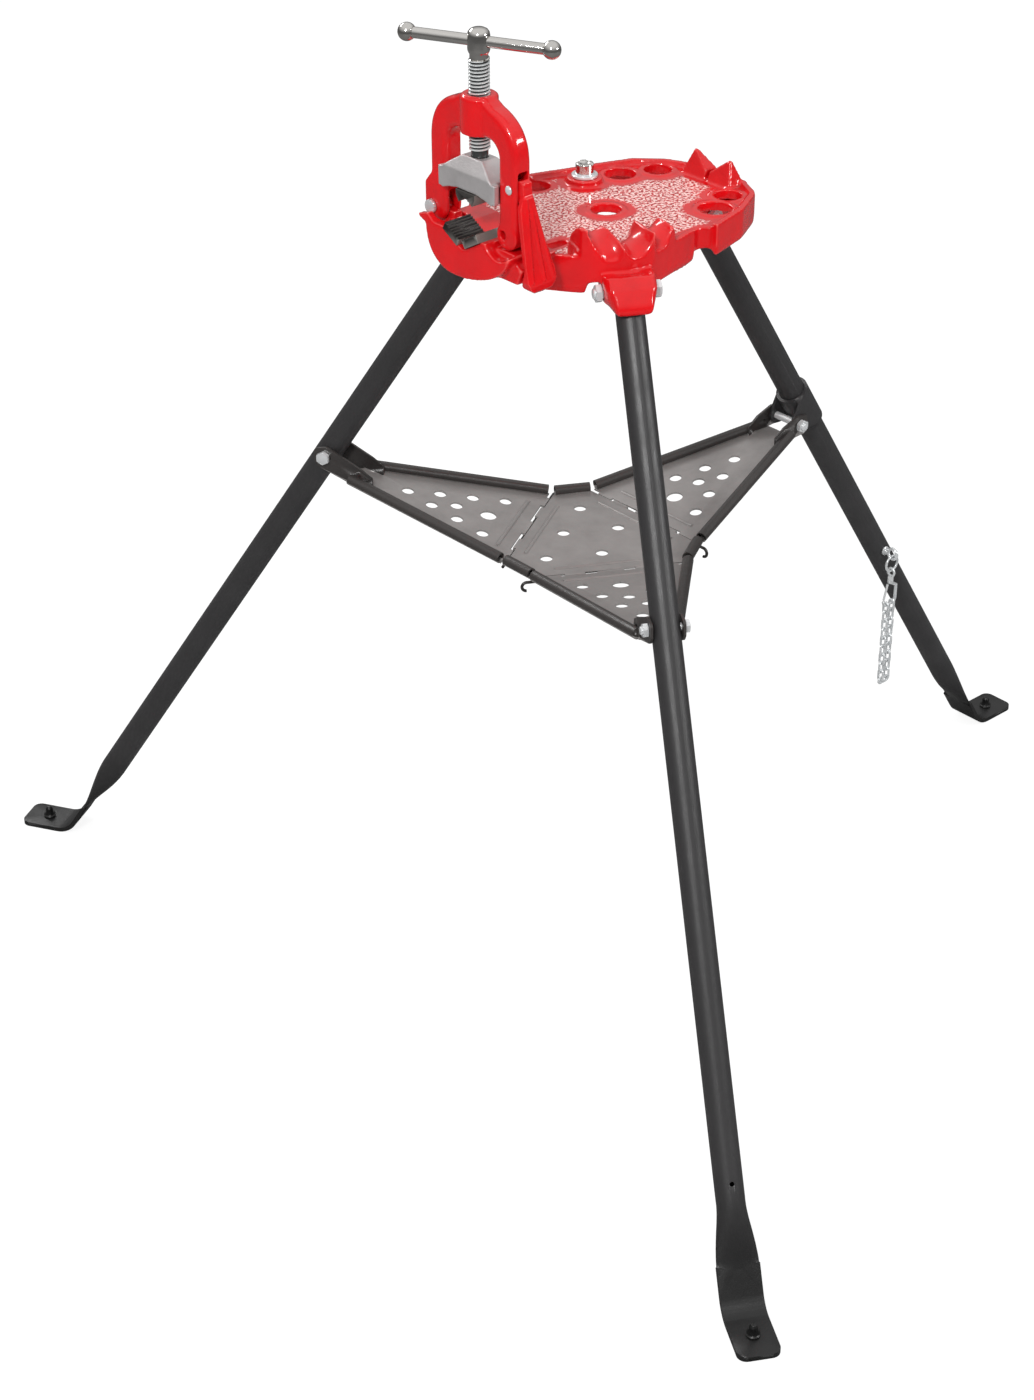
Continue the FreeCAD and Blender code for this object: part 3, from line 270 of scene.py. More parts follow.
def two_scale_bump_group() -> bpy.types.NodeTree:
    """A coarse swell and a fine grain as one normal.

    Returns:
        The shared group, with output Normal.
    """
    inputs = [("Coarse scale", "value", 90.0), ("Coarse height", "value", 0.0002),
              ("Fine scale", "value", 1500.0), ("Fine height", "value", 0.00005)]
    tree, g, entry, end = new_group("two_scale_bump", inputs, [("Normal", "vector")])
    coarse = g.node("ShaderNodeTexNoise", Vector=g.place(), Scale=entry.outputs["Coarse scale"], Detail=2.0)
    fine = g.node("ShaderNodeTexNoise", Vector=g.place(), Scale=entry.outputs["Fine scale"], Detail=3.0)
    low = g.node("ShaderNodeBump", Height=coarse.outputs["Fac"], Distance=entry.outputs["Coarse height"])
    high = g.node("ShaderNodeBump", Height=fine.outputs["Fac"], Distance=entry.outputs["Fine height"],
                  Normal=low.outputs["Normal"])
    g.feed(end.inputs["Normal"], high.outputs["Normal"])
    return tree


PAINT_WITH_PAINTED_LIGHT = paint_with_painted_light_group()
BUMPS = two_scale_bump_group()


@dataclass(frozen=True)
class Finish:
    """A painted or plated surface.

    Attributes:
        name: The material's name.
        slot: The record's slot it belongs to.
        colour: Linear base colour.
        edge_highlight_colour: Colour of the painted highlight on edges.
        metallic: Share of metal.
        roughness: Mean roughness.
        spread: How far the roughness wanders.
        edge_highlight_amount: How strong the painted highlight on edges is.
        cloud_amount: How much the colour clouds.
        corner_shade_amount: How strong the painted shade in corners is.
        coarse: Scale per metre and height in metres of the swell.
        fine: Scale per metre and height in metres of the grain.
        coat: Clear coat weight.
        coat_rough: Clear coat roughness.
        specular: Strength of the plain reflection.
    """

    name: str
    slot: Slot
    colour: Colour
    edge_highlight_colour: Colour
    metallic: float = 0.0
    roughness: float = 0.4
    spread: float = 0.08
    edge_highlight_amount: float = 0.3
    cloud_amount: float = 0.15
    corner_shade_amount: float = 0.35
    coarse: tuple[float, float] = (90.0, 0.0002)
    fine: tuple[float, float] = (1500.0, 0.00005)
    coat: float = 0.0
    coat_rough: float = 0.05
    specular: float = 0.5

    def base(self) -> tuple[bpy.types.Material, Graph, bpy.types.Node, bpy.types.Node]:
        """Builds the common recipe.

        Returns:
            The material, its graph, the shader node and the paint group node.
        """
        material = bpy.data.materials.new(self.name)
        material.use_nodes = True
        g = Graph(material.node_tree)
        shader = material.node_tree.nodes["Principled BSDF"]
        # the group paints a highlight on edges and shade in corners over the clouded colour
        paint = g.node(PAINT_WITH_PAINTED_LIGHT, Colour=self.colour, Edge_colour=self.edge_highlight_colour, Edge_amount=self.edge_highlight_amount,
                       Cloud_amount=self.cloud_amount, Pit_amount=self.corner_shade_amount)
        bump = g.node(BUMPS, Coarse_scale=self.coarse[0], Coarse_height=self.coarse[1],
                      Fine_scale=self.fine[0], Fine_height=self.fine[1])
        g.feed(shader.inputs["Base Color"], paint.outputs["Colour"])
        g.feed(shader.inputs["Roughness"], g.ramp(paint.outputs["Cloud"], 0.3, 0.7, self.roughness - self.spread,
                                                  self.roughness + self.spread))
        shader.inputs["Metallic"].default_value = self.metallic
        shader.inputs["Coat Weight"].default_value = self.coat
        shader.inputs["Coat Roughness"].default_value = self.coat_rough
        shader.inputs["Specular IOR Level"].default_value = self.specular
        g.feed(shader.inputs["Normal"], bump.outputs["Normal"])
        return material, g, shader, paint

    def material(self) -> bpy.types.Material:
        """The finished material."""
        return self.base()[0]


@dataclass(frozen=True)
class SpeckledCasting(Finish):
    """Enamel whose table face keeps the sand mould's coarse grain between smooth margins.

    Attributes:
        mask: The mesh attribute that is 1 where the grain shows.
        glint: Colour of the painted highlight on the grain's tips.
        hollow_shade: Colour of the painted shade in the grain's hollows.
        grain_scale: Grains per metre.
        grain_height: Height of the grain, in metres.
    """

    mask: str = "grain"
    glint: Colour = (1.0, 0.74, 0.70)
    hollow_shade: Colour = (0.20, 0.002, 0.004)
    grain_scale: float = 360.0
    grain_height: float = 0.0012

    def material(self) -> bpy.types.Material:
        """The common recipe with the grain laid over the flat face."""
        material, g, shader, paint = self.base()
        attribute = g.node("ShaderNodeAttribute")
        attribute.attribute_name = self.mask
        mask = attribute.outputs["Fac"]
        grain = g.noise(self.grain_scale, 2.0, 0.6)
        # painted highlight on the grain's tips and painted shade in its hollows
        tips = g.math("MULTIPLY", mask, g.ramp(grain, 0.47, 0.54, 0.0, 0.95))
        shaded_hollows = g.math("MULTIPLY", mask, g.ramp(grain, 0.46, 0.38, 0.0, 0.75))
        colour = g.mix(tips, paint.outputs["Colour"], self.glint)
        g.feed(shader.inputs["Base Color"], g.mix(shaded_hollows, colour, self.hollow_shade))
        smooth = shader.inputs["Normal"].links[0].from_socket
        bump = g.node("ShaderNodeBump", Height=g.math("MULTIPLY", grain, mask), Distance=self.grain_height,
                      Normal=smooth)
        g.feed(shader.inputs["Normal"], bump.outputs["Normal"])
        return material


@dataclass(frozen=True)
class TurnedMetal(Finish):
    """Bright metal with faint rings from the lathe.

    Attributes:
        rings: Rings per metre along Z.
    """

    rings: float = 2600.0

    def material(self) -> bpy.types.Material:
        """The common recipe with fine rings in its roughness."""
        material, g, shader, paint = self.base()
        wave = g.node("ShaderNodeTexWave", Vector=g.place(), Scale=self.rings / math.tau, Distortion=1.5)
        wave.bands_direction = "Z"
        g.feed(shader.inputs["Roughness"], g.ramp(wave.outputs["Fac"], 0.0, 1.0, self.roughness - self.spread,
                                                  self.roughness + self.spread))
        return material


@dataclass(frozen=True)
class Coat(Finish):
    """Leg coat with painted shade that darkens it towards the flattened pads.

    Attributes:
        dark_z: Height under which it is darkest, in metres.
        full_z: Height over which it has its full colour.
        pad_shade: The darkest colour of the painted shade.
    """

    dark_z: float = 0.03
    full_z: float = 0.12
    pad_shade: Colour = (0.006, 0.006, 0.006)

    def material(self) -> bpy.types.Material:
        """The common recipe, darker at the pads."""
        material, g, shader, paint = self.base()
        height = g.node("ShaderNodeSeparateXYZ", Vector=g.place()).outputs["Z"]
        # painted shade, deepest at the pads
        shade = g.ramp(height, self.dark_z, self.full_z, 0.9, 0.0)
        g.feed(shader.inputs["Base Color"], g.mix(shade, paint.outputs["Colour"], self.pad_shade))
        return material


@dataclass(frozen=True)
class Threaded(Finish):
    """Bright plate with painted shade in its thread valleys.

    Attributes:
        axis: The screw's axis, X and Y in metres.
        root: Radius where it is darkest.
        crest: Radius where it is fully bright.
        valley_shade: Colour of the painted shade in the valleys.
    """

    axis: tuple[float, float] = (0.0, 0.0)
    root: float = 0.0079
    crest: float = 0.0094
    valley_shade: Colour = (0.015, 0.017, 0.018)

    def material(self) -> bpy.types.Material:
        """The common recipe, darker with depth."""
        material, g, shader, paint = self.base()
        place = g.node("ShaderNodeSeparateXYZ", Vector=g.place())
        x = g.math("SUBTRACT", place.outputs["X"], self.axis[0])
        y = g.math("SUBTRACT", place.outputs["Y"], self.axis[1])
        radius = g.math("SQRT", g.math("ADD", g.math("MULTIPLY", x, x), g.math("MULTIPLY", y, y)))
        # painted shade, deepest at the thread's root
        depth = g.ramp(radius, self.root, self.crest, 0.95, 0.0)
        g.feed(shader.inputs["Base Color"], g.mix(depth, paint.outputs["Colour"], self.valley_shade))
        return material


# Each finish's second colour is its painted highlight on edges; its corner shade amount paints shade into corners.
ENAMEL = SpeckledCasting("red_enamel", Slot.RED, (0.66, 0.004, 0.007), (1.0, 0.27, 0.24), roughness=0.20,
                         spread=0.05, edge_highlight_amount=0.42, cloud_amount=0.16, corner_shade_amount=0.62, coarse=(70.0, 0.0009),
                         fine=(420.0, 0.00008), coat=0.75, coat_rough=0.04, specular=0.22)
POWDER = Coat("charcoal_powder_coat", Slot.BLACK, (0.030, 0.029, 0.030), (0.09, 0.09, 0.09), roughness=0.38,
              cloud_amount=0.2, edge_highlight_amount=0.0, corner_shade_amount=0.0, coarse=(200.0, 0.00012),
              fine=(1300.0, 0.00018), specular=0.5)
TRAY_GREY = Finish("tray_grey_paint", Slot.GREY, (0.275, 0.262, 0.255), (0.42, 0.40, 0.39), roughness=0.36,
                   metallic=0.3, cloud_amount=0.25, edge_highlight_amount=0.15, corner_shade_amount=0.15, coarse=(60.0, 0.0003),
                   fine=(1300.0, 0.00008))
TRAY_RIM = Finish("tray_rim_coat", Slot.GREY, (0.024, 0.021, 0.020), (0.10, 0.09, 0.085), roughness=0.34,
                  cloud_amount=0.2, edge_highlight_amount=0.2, corner_shade_amount=0.1, coarse=(120.0, 0.0002), fine=(1300.0, 0.0001))
ZINC = Finish("bright_zinc", Slot.ZINC, (0.78, 0.80, 0.81), (0.95, 0.95, 0.95), metallic=0.5, roughness=0.24,
              cloud_amount=0.2, coarse=(260.0, 0.00008), fine=(1800.0, 0.00002))
THREAD = Threaded("zinc_thread", Slot.CHROME, (0.85, 0.88, 0.88), (0.95, 0.95, 0.95), metallic=0.45,
                  roughness=0.22, edge_highlight_amount=0.2, corner_shade_amount=0.2, cloud_amount=0.1, coarse=(260.0, 0.00004),
                  fine=(1800.0, 0.00002), axis=((-144.0 + TABLE_X) * MM, 0.0))
NICKEL = TurnedMetal("nickel_plate", Slot.CHROME, (0.72, 0.70, 0.67), (0.95, 0.93, 0.9), metallic=1.0,
                     roughness=0.10, spread=0.03, cloud_amount=0.12, coarse=(120.0, 0.0001),
                     fine=(900.0, 0.00001))
JAW_STEEL = Finish("dark_jaw_steel", Slot.JAW, (0.022, 0.019, 0.018), (0.42, 0.40, 0.37), metallic=0.3,
                   specular=0.3, roughness=0.33, edge_highlight_amount=0.5, cloud_amount=0.35, coarse=(300.0, 0.0002),
                   fine=(1500.0, 0.00006))
SATIN = Finish("satin_casting", Slot.SATIN, (0.60, 0.575, 0.575), (0.8, 0.8, 0.8), metallic=0.6, roughness=0.40,
               cloud_amount=0.28, coarse=(160.0, 0.0003), fine=(700.0, 0.00022))
BLACK_OXIDE = Finish("black_oxide", Slot.STUD, (0.012, 0.012, 0.012), (0.12, 0.12, 0.12), metallic=0.5,
                     roughness=0.35, coarse=(300.0, 0.0001), fine=(1500.0, 0.00004))


# ---------------------------------------------------------------- modelling helpers


def activate(piece: bpy.types.Object) -> None:
    """Makes one object the only selected and active one.

    Args:
        piece: The object.
    """
    bpy.ops.object.select_all(action="DESELECT")
    piece.hide_set(False)
    piece.select_set(True)
    bpy.context.view_layer.objects.active = piece


def finish_mesh(piece: bpy.types.Object) -> None:
    """Applies the object's place to its mesh and points its faces outwards.

    Args:
        piece: The object.
    """
    activate(piece)
    bpy.ops.object.transform_apply(location=True, rotation=True, scale=True)
    bpy.ops.object.mode_set(mode="EDIT")
    bpy.ops.mesh.select_all(action="SELECT")
    bpy.ops.mesh.normals_make_consistent(inside=False)
    bpy.ops.object.mode_set(mode="OBJECT")


def modify(piece: bpy.types.Object, kind: str, **settings: object) -> None:
    """Adds a modifier, sets it and applies it.

    Args:
        piece: The object.
        kind: The modifier's type.
        **settings: Its properties.
    """
    activate(piece)
    made = piece.modifiers.new(kind.lower(), kind)
    for name, value in settings.items():
        setattr(made, name, value)
    bpy.ops.object.modifier_apply(modifier=made.name)


def cad_copy(name: str, node: str) -> bpy.types.Object:
    """Copies a CAD node's mesh into a new piece and welds its loose triangles.

    Args:
        name: The new piece's name.
        node: The CAD node.

    Returns:
        The piece.
    """
    mesh = frame["nodes"][node].data.copy()
    mesh.materials.clear()
    piece = bpy.data.objects.new(name, mesh)
    bpy.context.scene.collection.objects.link(piece)
    activate(piece)
    bpy.ops.object.mode_set(mode="EDIT")
    bpy.ops.mesh.select_all(action="SELECT")
    bpy.ops.mesh.remove_doubles(threshold=0.000002)
    bpy.ops.object.mode_set(mode="OBJECT")
    return piece


def smooth_by_angle(piece: bpy.types.Object, degrees: float = 32.0, even: bool = False) -> None:
    """Shades a piece smooth but for its sharp edges.

    Args:
        piece: The object.
        degrees: Edges over this angle stay sharp.
        even: Whether large faces decide the normals, so that long thin triangles don't streak.
    """
    activate(piece)
    bpy.ops.object.shade_smooth_by_angle(angle=math.radians(degrees))
    if even:
        modify(piece, "WEIGHTED_NORMAL", keep_sharp=True)


def join(name: str, parts: Sequence[bpy.types.Object]) -> bpy.types.Object:
    """Joins objects into one piece.

    Args:
        name: The joined piece's name.
        parts: The objects, at least one.

    Returns:
        The piece.
    """
    activate(parts[0])
    for other in parts[1:]:
        other.select_set(True)
    if len(parts) > 1:
        bpy.ops.object.join()
    parts[0].name = name
    return parts[0]


def trace(points: Sequence[tuple[float, float]], centre: Vector, closed: bool = False) -> bpy.types.Object:
    """Draws a profile of edges in the XZ plane beside an upright axis.

    Args:
        points: Radius and height of each corner, in mm, height from the centre.
        centre: The axis' foot, in metres.
        closed: Whether the last corner joins the first.

    Returns:
        The profile, with its origin on the axis.
    """
    bpy.ops.object.select_all(action="DESELECT")
    bpy.ops.mesh.primitive_plane_add(size=MM, location=centre)
    piece = bpy.context.active_object
    bpy.ops.object.mode_set(mode="EDIT")
    bpy.ops.mesh.select_all(action="SELECT")
    bpy.ops.mesh.merge(type="CENTER")
    last = points[0]
    bpy.ops.transform.translate(value=(last[0] * MM, 0, last[1] * MM))
    for point in points[1:]:
        step = ((point[0] - last[0]) * MM, 0, (point[1] - last[1]) * MM)
        bpy.ops.mesh.extrude_region_move(TRANSFORM_OT_translate={"value": step})
        last = point
    bpy.ops.object.mode_set(mode="OBJECT")
    if closed:
        piece.data.vertices[0].select = True
        piece.data.vertices[-1].select = True
        bpy.ops.object.mode_set(mode="EDIT")
        bpy.ops.mesh.edge_face_add()
        bpy.ops.object.mode_set(mode="OBJECT")
    return piece


def turned(points: Sequence[tuple[float, float]], centre: Vector, steps: int = 48) -> bpy.types.Object:
    """Turns a profile round an upright axis.

    Args:
        points: Radius and height of each corner, in mm.
        centre: The axis' foot, in metres.
        steps: Facets round the axis.

    Returns:
        The turned object.
    """
    piece = trace(points, centre)
    activate(piece)
    bpy.ops.object.mode_set(mode="EDIT")
    bpy.ops.mesh.select_all(action="SELECT")
    bpy.ops.mesh.spin(steps=steps, angle=math.tau, center=centre, axis=(0, 0, 1))
    bpy.ops.mesh.select_all(action="SELECT")
    bpy.ops.mesh.remove_doubles(threshold=0.00001)
    bpy.ops.object.mode_set(mode="OBJECT")
    return piece


def thread_ridge(centre: Vector, z0: float, z1: float, major: float, pitch: float, steps: int = 28
                 ) -> bpy.types.Object:
    """Winds a thread's ridge round an upright axis.

    Args:
        centre: The axis' foot, in metres.
        z0: Where the ridge starts, in mm above the foot.
        z1: Where it ends.
        major: Outer diameter, in mm.
        pitch: Rise of a turn, in mm.
        steps: Facets per turn.

    Returns:
        The ridge as a closed coil.
    """
    crest, root = major / 2, major / 2 - 0.60 * pitch
    sunk = root - 0.2   # the ridge's foot lies this deep in the core
    profile = [(sunk, z0), (root, z0 + 0.06 * pitch), (crest, z0 + 0.30 * pitch),
               (crest, z0 + 0.58 * pitch), (root, z0 + 0.82 * pitch), (sunk, z0 + 0.88 * pitch)]
    coil = trace(profile, centre, closed=True)
    modify(coil, "SCREW", angle=math.tau, screw_offset=pitch * MM, iterations=max(1, int((z1 - z0) / pitch)),
           steps=steps, render_steps=steps, axis="Z")
    activate(coil)
    count = len(coil.data.vertices)
    for first in (0, count - len(profile)):
        bpy.ops.object.mode_set(mode="EDIT")
        bpy.ops.mesh.select_mode(type="VERT")
        bpy.ops.mesh.select_all(action="DESELECT")
        bpy.ops.object.mode_set(mode="OBJECT")
        coil.data.vertices.foreach_set("select", [first <= k < first + len(profile) for k in range(count)])
        bpy.ops.object.mode_set(mode="EDIT")
        bpy.ops.mesh.edge_face_add()
        bpy.ops.object.mode_set(mode="OBJECT")
    return coil


def hex_prism(centre: Vector, across: float, height: float, both: bool) -> bpy.types.Object:
    """A hexagon head or nut standing on the centre, its corners rounded off by a cone.

    Args:
        centre: The foot's middle, in metres.
        across: Width across the flats, in mm.
        height: Height in mm.
        both: Whether the lower corners are rounded too.

    Returns:
        The prism, upright.
    """
    corner = across / math.sqrt(3)
    ring, outside = across / 2 * 0.94, corner * 1.02
    bpy.ops.object.select_all(action="DESELECT")
    bpy.ops.mesh.primitive_cylinder_add(vertices=6, radius=corner * MM, depth=height * MM,
                                        location=centre + Vector((0, 0, height / 2 * MM)))
    prism = bpy.context.active_object
    drop = 0.544 * (corner - ring)
    profile = [(0.0, 0.0), (ring if both else outside, 0.0), (outside, drop if both else 0.01),
               (outside, height - drop), (ring, height), (0.0, height)]
    cone = turned(profile, centre, 40)
    modify(prism, "BOOLEAN", operation="INTERSECT", object=cone, solver="EXACT")
    bpy.data.objects.remove(cone)
    return prism


def lay_along(piece: bpy.types.Object, centre: Vector, direction: Vector) -> None:
    """Turns an upright piece about a point so that it lies along a direction.

    Args:
        piece: The object.
        centre: The point that stays, in metres.
        direction: Where its +Z goes.
    """
    activate(piece)
    bpy.ops.object.transform_apply(location=True, rotation=True, scale=True)
    turn = direction.to_track_quat("Z", "Y").to_matrix().to_4x4()
    piece.matrix_world = Matrix.Translation(centre) @ turn @ Matrix.Translation(-centre)
    bpy.ops.object.transform_apply(location=True, rotation=True, scale=True)


class Assembly:
    """A group of pieces that stand for CAD nodes."""

    def keep(self, piece: bpy.types.Object, nodes: Sequence[str], finishes: Sequence[bpy.types.Material],
             slot: Slot) -> bpy.types.Object:
        """Dresses a piece, puts it on its body and hides the CAD nodes it stands for.

        Args:
            piece: The finished object.
            nodes: The CAD nodes it replaces.
            finishes: Its materials, first for slot 0.
            slot: Not used.

        Returns:
            The piece.
        """
        piece.data.materials.clear()
        for finish in finishes:
            piece.data.materials.append(finish)
        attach(piece, frame["nodes"][nodes[0]]["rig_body"])
        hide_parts(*nodes)
        LOG.info("%s: %d faces", piece.name, len(piece.data.polygons))
        return piece

    def plain(self, node: str, material: bpy.types.Material, slot: Slot, degrees: float = 32.0
              ) -> bpy.types.Object:
        """Stands in for a CAD node with a welded, smoothly shaded copy of the same shape.

        Args:
            node: The CAD node.
            material: Its finish.
            slot: The record's slot.
            degrees: Edges over this angle stay sharp.

        Returns:
            The piece.
        """
        piece = cad_copy(node + "_shell", node)
        smooth_by_angle(piece, degrees, even=True)
        return self.keep(piece, [node], [material], slot)


@dataclass(frozen=True)
class Arch:
    """The yoke's crown, faceted in the solids and cast as one smooth arch; all sizes in mm.

    Attributes:
        foot: Height that the outline is measured from.
        corners: Half width and height of the facets' corners, from the side to the top.
        half_width: Half width of the smooth arch.
        rise: Height of the smooth arch.
        fullness: Exponent of its superellipse.
        inner: Radius inside which nothing moves.
        low: Height over the foot under which nothing moves.
        boss: Half width of the screw boss, which keeps its shape.
    """

    foot: float = 900.0
    corners: tuple[tuple[float, float], ...] = ((57.5, 5.0), (54.5, 18.0), (45.5, 32.0), (30.0, 43.0), (16.0, 51.0))
    half_width: float = 57.5
    rise: float = 48.5
    fullness: float = 2.5
    inner: float = 38.0
    low: float = 5.0
    boss: float = 16.0

    def facet(self, angle: float) -> float:
        """Distance from the arch's middle to the faceted outline.

        Args:
            angle: The direction, from the side upwards, in radians.

        Returns:
            The distance in mm.
        """
        last = len(self.corners) - 2
        for k in range(last + 1):
            (y0, z0), (y1, z1) = self.corners[k], self.corners[k + 1]
            if angle <= math.atan2(z1, y1) or k == last:
                break
        cross = y0 * (z1 - z0) - z0 * (y1 - y0)
        return cross / (math.cos(angle) * (z1 - z0) - math.sin(angle) * (y1 - y0))

    def growth(self, radius: float, angle: float) -> float:
        """How much further from the arch's middle a point lies once the arch is smooth.

        Args:
            radius: The point's distance from the middle.
            angle: Its direction.

        Returns:
            The factor, 1 or more.
        """
        facet = self.facet(angle)
        smooth = ((abs(math.cos(angle)) / self.half_width) ** self.fullness
                  + (abs(math.sin(angle)) / self.rise) ** self.fullness) ** (-1.0 / self.fullness)
        share = min(1.0, max(0.0, (radius - self.inner) / (facet - self.inner)))
        return 1.0 + share * share * (max(smooth, facet) / facet - 1.0)


@dataclass(frozen=True)
class Nose:
    """How a leg socket's outer half narrows to a blunt nose; all sizes in mm.

    Attributes:
        start: Distance outwards from the pivot where it starts to narrow.
        length: Distance over which it narrows.
        core: Half width that stays.
        reach: Half width of all that belongs to the socket.
        top: Height under which it narrows.
        blend: Drop over which the narrowing comes in.
        squeeze: Share of the width beyond the core that goes at the far end.
        soft_top: Height under which the socket is smoothed.
        soft_blend: Drop over which the smoothing comes in.
        clear: Distance from the table's centre line past which the smoothing works.
        passes: Smoothing passes.
    """

    start: float = 4.0
    length: float = 28.0
    core: float = 15.5
    reach: float = 30.0
    top: float = 788.0
    blend: float = 10.0
    squeeze: float = 0.8
    soft_top: float = 784.0
    soft_blend: float = 8.0
    clear: float = 92.0
    passes: int = 60


@dataclass
class CastIron(Assembly):
    """The sand castings: table, yoke, hook and sliding head, with the softened edges of a mould.

    Attributes:
        voxel: Grid of the softening, in mm, per node.
        passes: Smoothing passes per node.
        face_z: Height of the table's flat face, in metres.
        face_play: How far off that height still counts, in metres.
        face_normal: Least upward part of a normal that counts as flat.
        margin: Smooth margin round its holes, in mm.
        arch: The yoke's crown.
        nose: The leg sockets' outer ends.
    """

    voxel: dict[str, float] = field(default_factory=lambda: {"vise_table": 1.5, "yoke": 1.0, "hook_latch": 0.8,
                                                             "jaw_holder": 0.8})
    passes: dict[str, int] = field(default_factory=lambda: {"vise_table": 2, "yoke": 12, "hook_latch": 2,
                                                            "jaw_holder": 7})
    face_z: float = 0.8
    face_play: float = 0.0003
    face_normal: float = 0.985
    margin: float = 4.5
    arch: Arch = Arch()
    nose: Nose = Nose()

    def soften(self, node: str, material: bpy.types.Material, slot: Slot) -> None:
        """Rounds every edge of a casting a little, as its mould and paint do.

        Args:
            node: The CAD node.
            material: Its finish.
            slot: The record's slot.
        """
        size = self.voxel[node] * 1.0
        piece = cad_copy(node + "_casting", node)
        modify(piece, "REMESH", mode="VOXEL", voxel_size=size * MM, use_smooth_shade=True)
        if node == "yoke":
            self.round_arch(piece)
        modify(piece, "SMOOTH", factor=0.5, iterations=self.passes[node])
        if node == "vise_table":
            self.mark_grain(piece, round(self.margin / size))
            self.round_sockets(piece)
        self.keep(piece, [node], [material], slot)

    def round_arch(self, piece: bpy.types.Object) -> None:
        """Swells the yoke's faceted shoulders out to one smooth arch.

        Args:
            piece: The yoke, still with its facets.
        """
        for vertex in piece.data.vertices:
            y, z = abs(vertex.co.y) / MM, vertex.co.z / MM - self.arch.foot
            if z < self.arch.low or y < self.arch.boss:
                continue
            grown = self.arch.growth(math.hypot(y, z), math.atan2(z, y))
            vertex.co.y *= grown
            vertex.co.z = (self.arch.foot + z * grown) * MM

    def round_sockets(self, piece: bpy.types.Object) -> None:
        """Rounds the leg sockets, which hang below the table's wall, to blunt noses.

        Args:
            piece: The softened table.
        """
        nose = self.nose
        for azimuth, pivot in PIVOTS.values():
            a = math.radians(azimuth)
            out, side = Vector((math.cos(a), math.sin(a), 0.0)), Vector((-math.sin(a), math.cos(a), 0.0))
            for vertex in piece.data.vertices:
                place = vertex.co / MM - Vector((TABLE_X, 0.0, 0.0))
                far, wide, low = place.dot(out) - pivot - nose.start, place.dot(side), nose.top - place.z
                if far < 0.0 or low < 0.0 or not nose.core < abs(wide) < nose.reach:
                    continue
                squeeze = nose.squeeze * min(1.0, far / nose.length) ** 2 * min(1.0, low / nose.blend)
                vertex.co -= side * (math.copysign(abs(wide) - nose.core, wide) * squeeze * MM)
        group = piece.vertex_groups.new(name="sockets")
        for vertex in piece.data.vertices:
            low = nose.soft_top - vertex.co.z / MM
            if low > 0.0 and math.hypot(vertex.co.x / MM - TABLE_X, vertex.co.y / MM) > nose.clear:
                group.add([vertex.index], min(1.0, low / nose.soft_blend), "REPLACE")
        modify(piece, "SMOOTH", factor=0.5, iterations=nose.passes, vertex_group="sockets")

    def mark_grain(self, piece: bpy.types.Object, rings: int) -> None:
        """Marks the table's flat face, but for a margin round its holes and walls.

        Args:
            piece: The softened table.
            rings: How many rings of vertices the margin takes.
        """
        mesh = piece.data
        flat = [abs(v.co.z - self.face_z) < self.face_play and v.normal.z > self.face_normal for v in mesh.vertices]
        activate(piece)
        mesh.vertices.foreach_set("select", flat)
        bpy.ops.object.mode_set(mode="EDIT")
        bpy.ops.mesh.select_mode(type="VERT")
        weights = [0.0] * len(flat)
        for step in range(rings + 1):
            bpy.ops.mesh.select_less()
            bpy.ops.object.mode_set(mode="OBJECT")
            chosen = [False] * len(flat)
            mesh.vertices.foreach_get("select", chosen)
            if step >= rings - 1:
                weights = [w + (0.5 if c else 0.0) for w, c in zip(weights, chosen)]
            bpy.ops.object.mode_set(mode="EDIT")
        bpy.ops.object.mode_set(mode="OBJECT")
        made = mesh.attributes.new("grain", "FLOAT", "POINT")
        made.data.foreach_set("value", weights)

    def build(self, enamel: bpy.types.Material, satin: bpy.types.Material) -> None:
        """Builds all castings.

        Args:
            enamel: The red finish.
            satin: The bare grey finish.
        """
        for node in ("vise_table", "yoke", "hook_latch"):
            self.soften(node, enamel, Slot.RED)
        self.soften("jaw_holder", satin, Slot.SATIN)


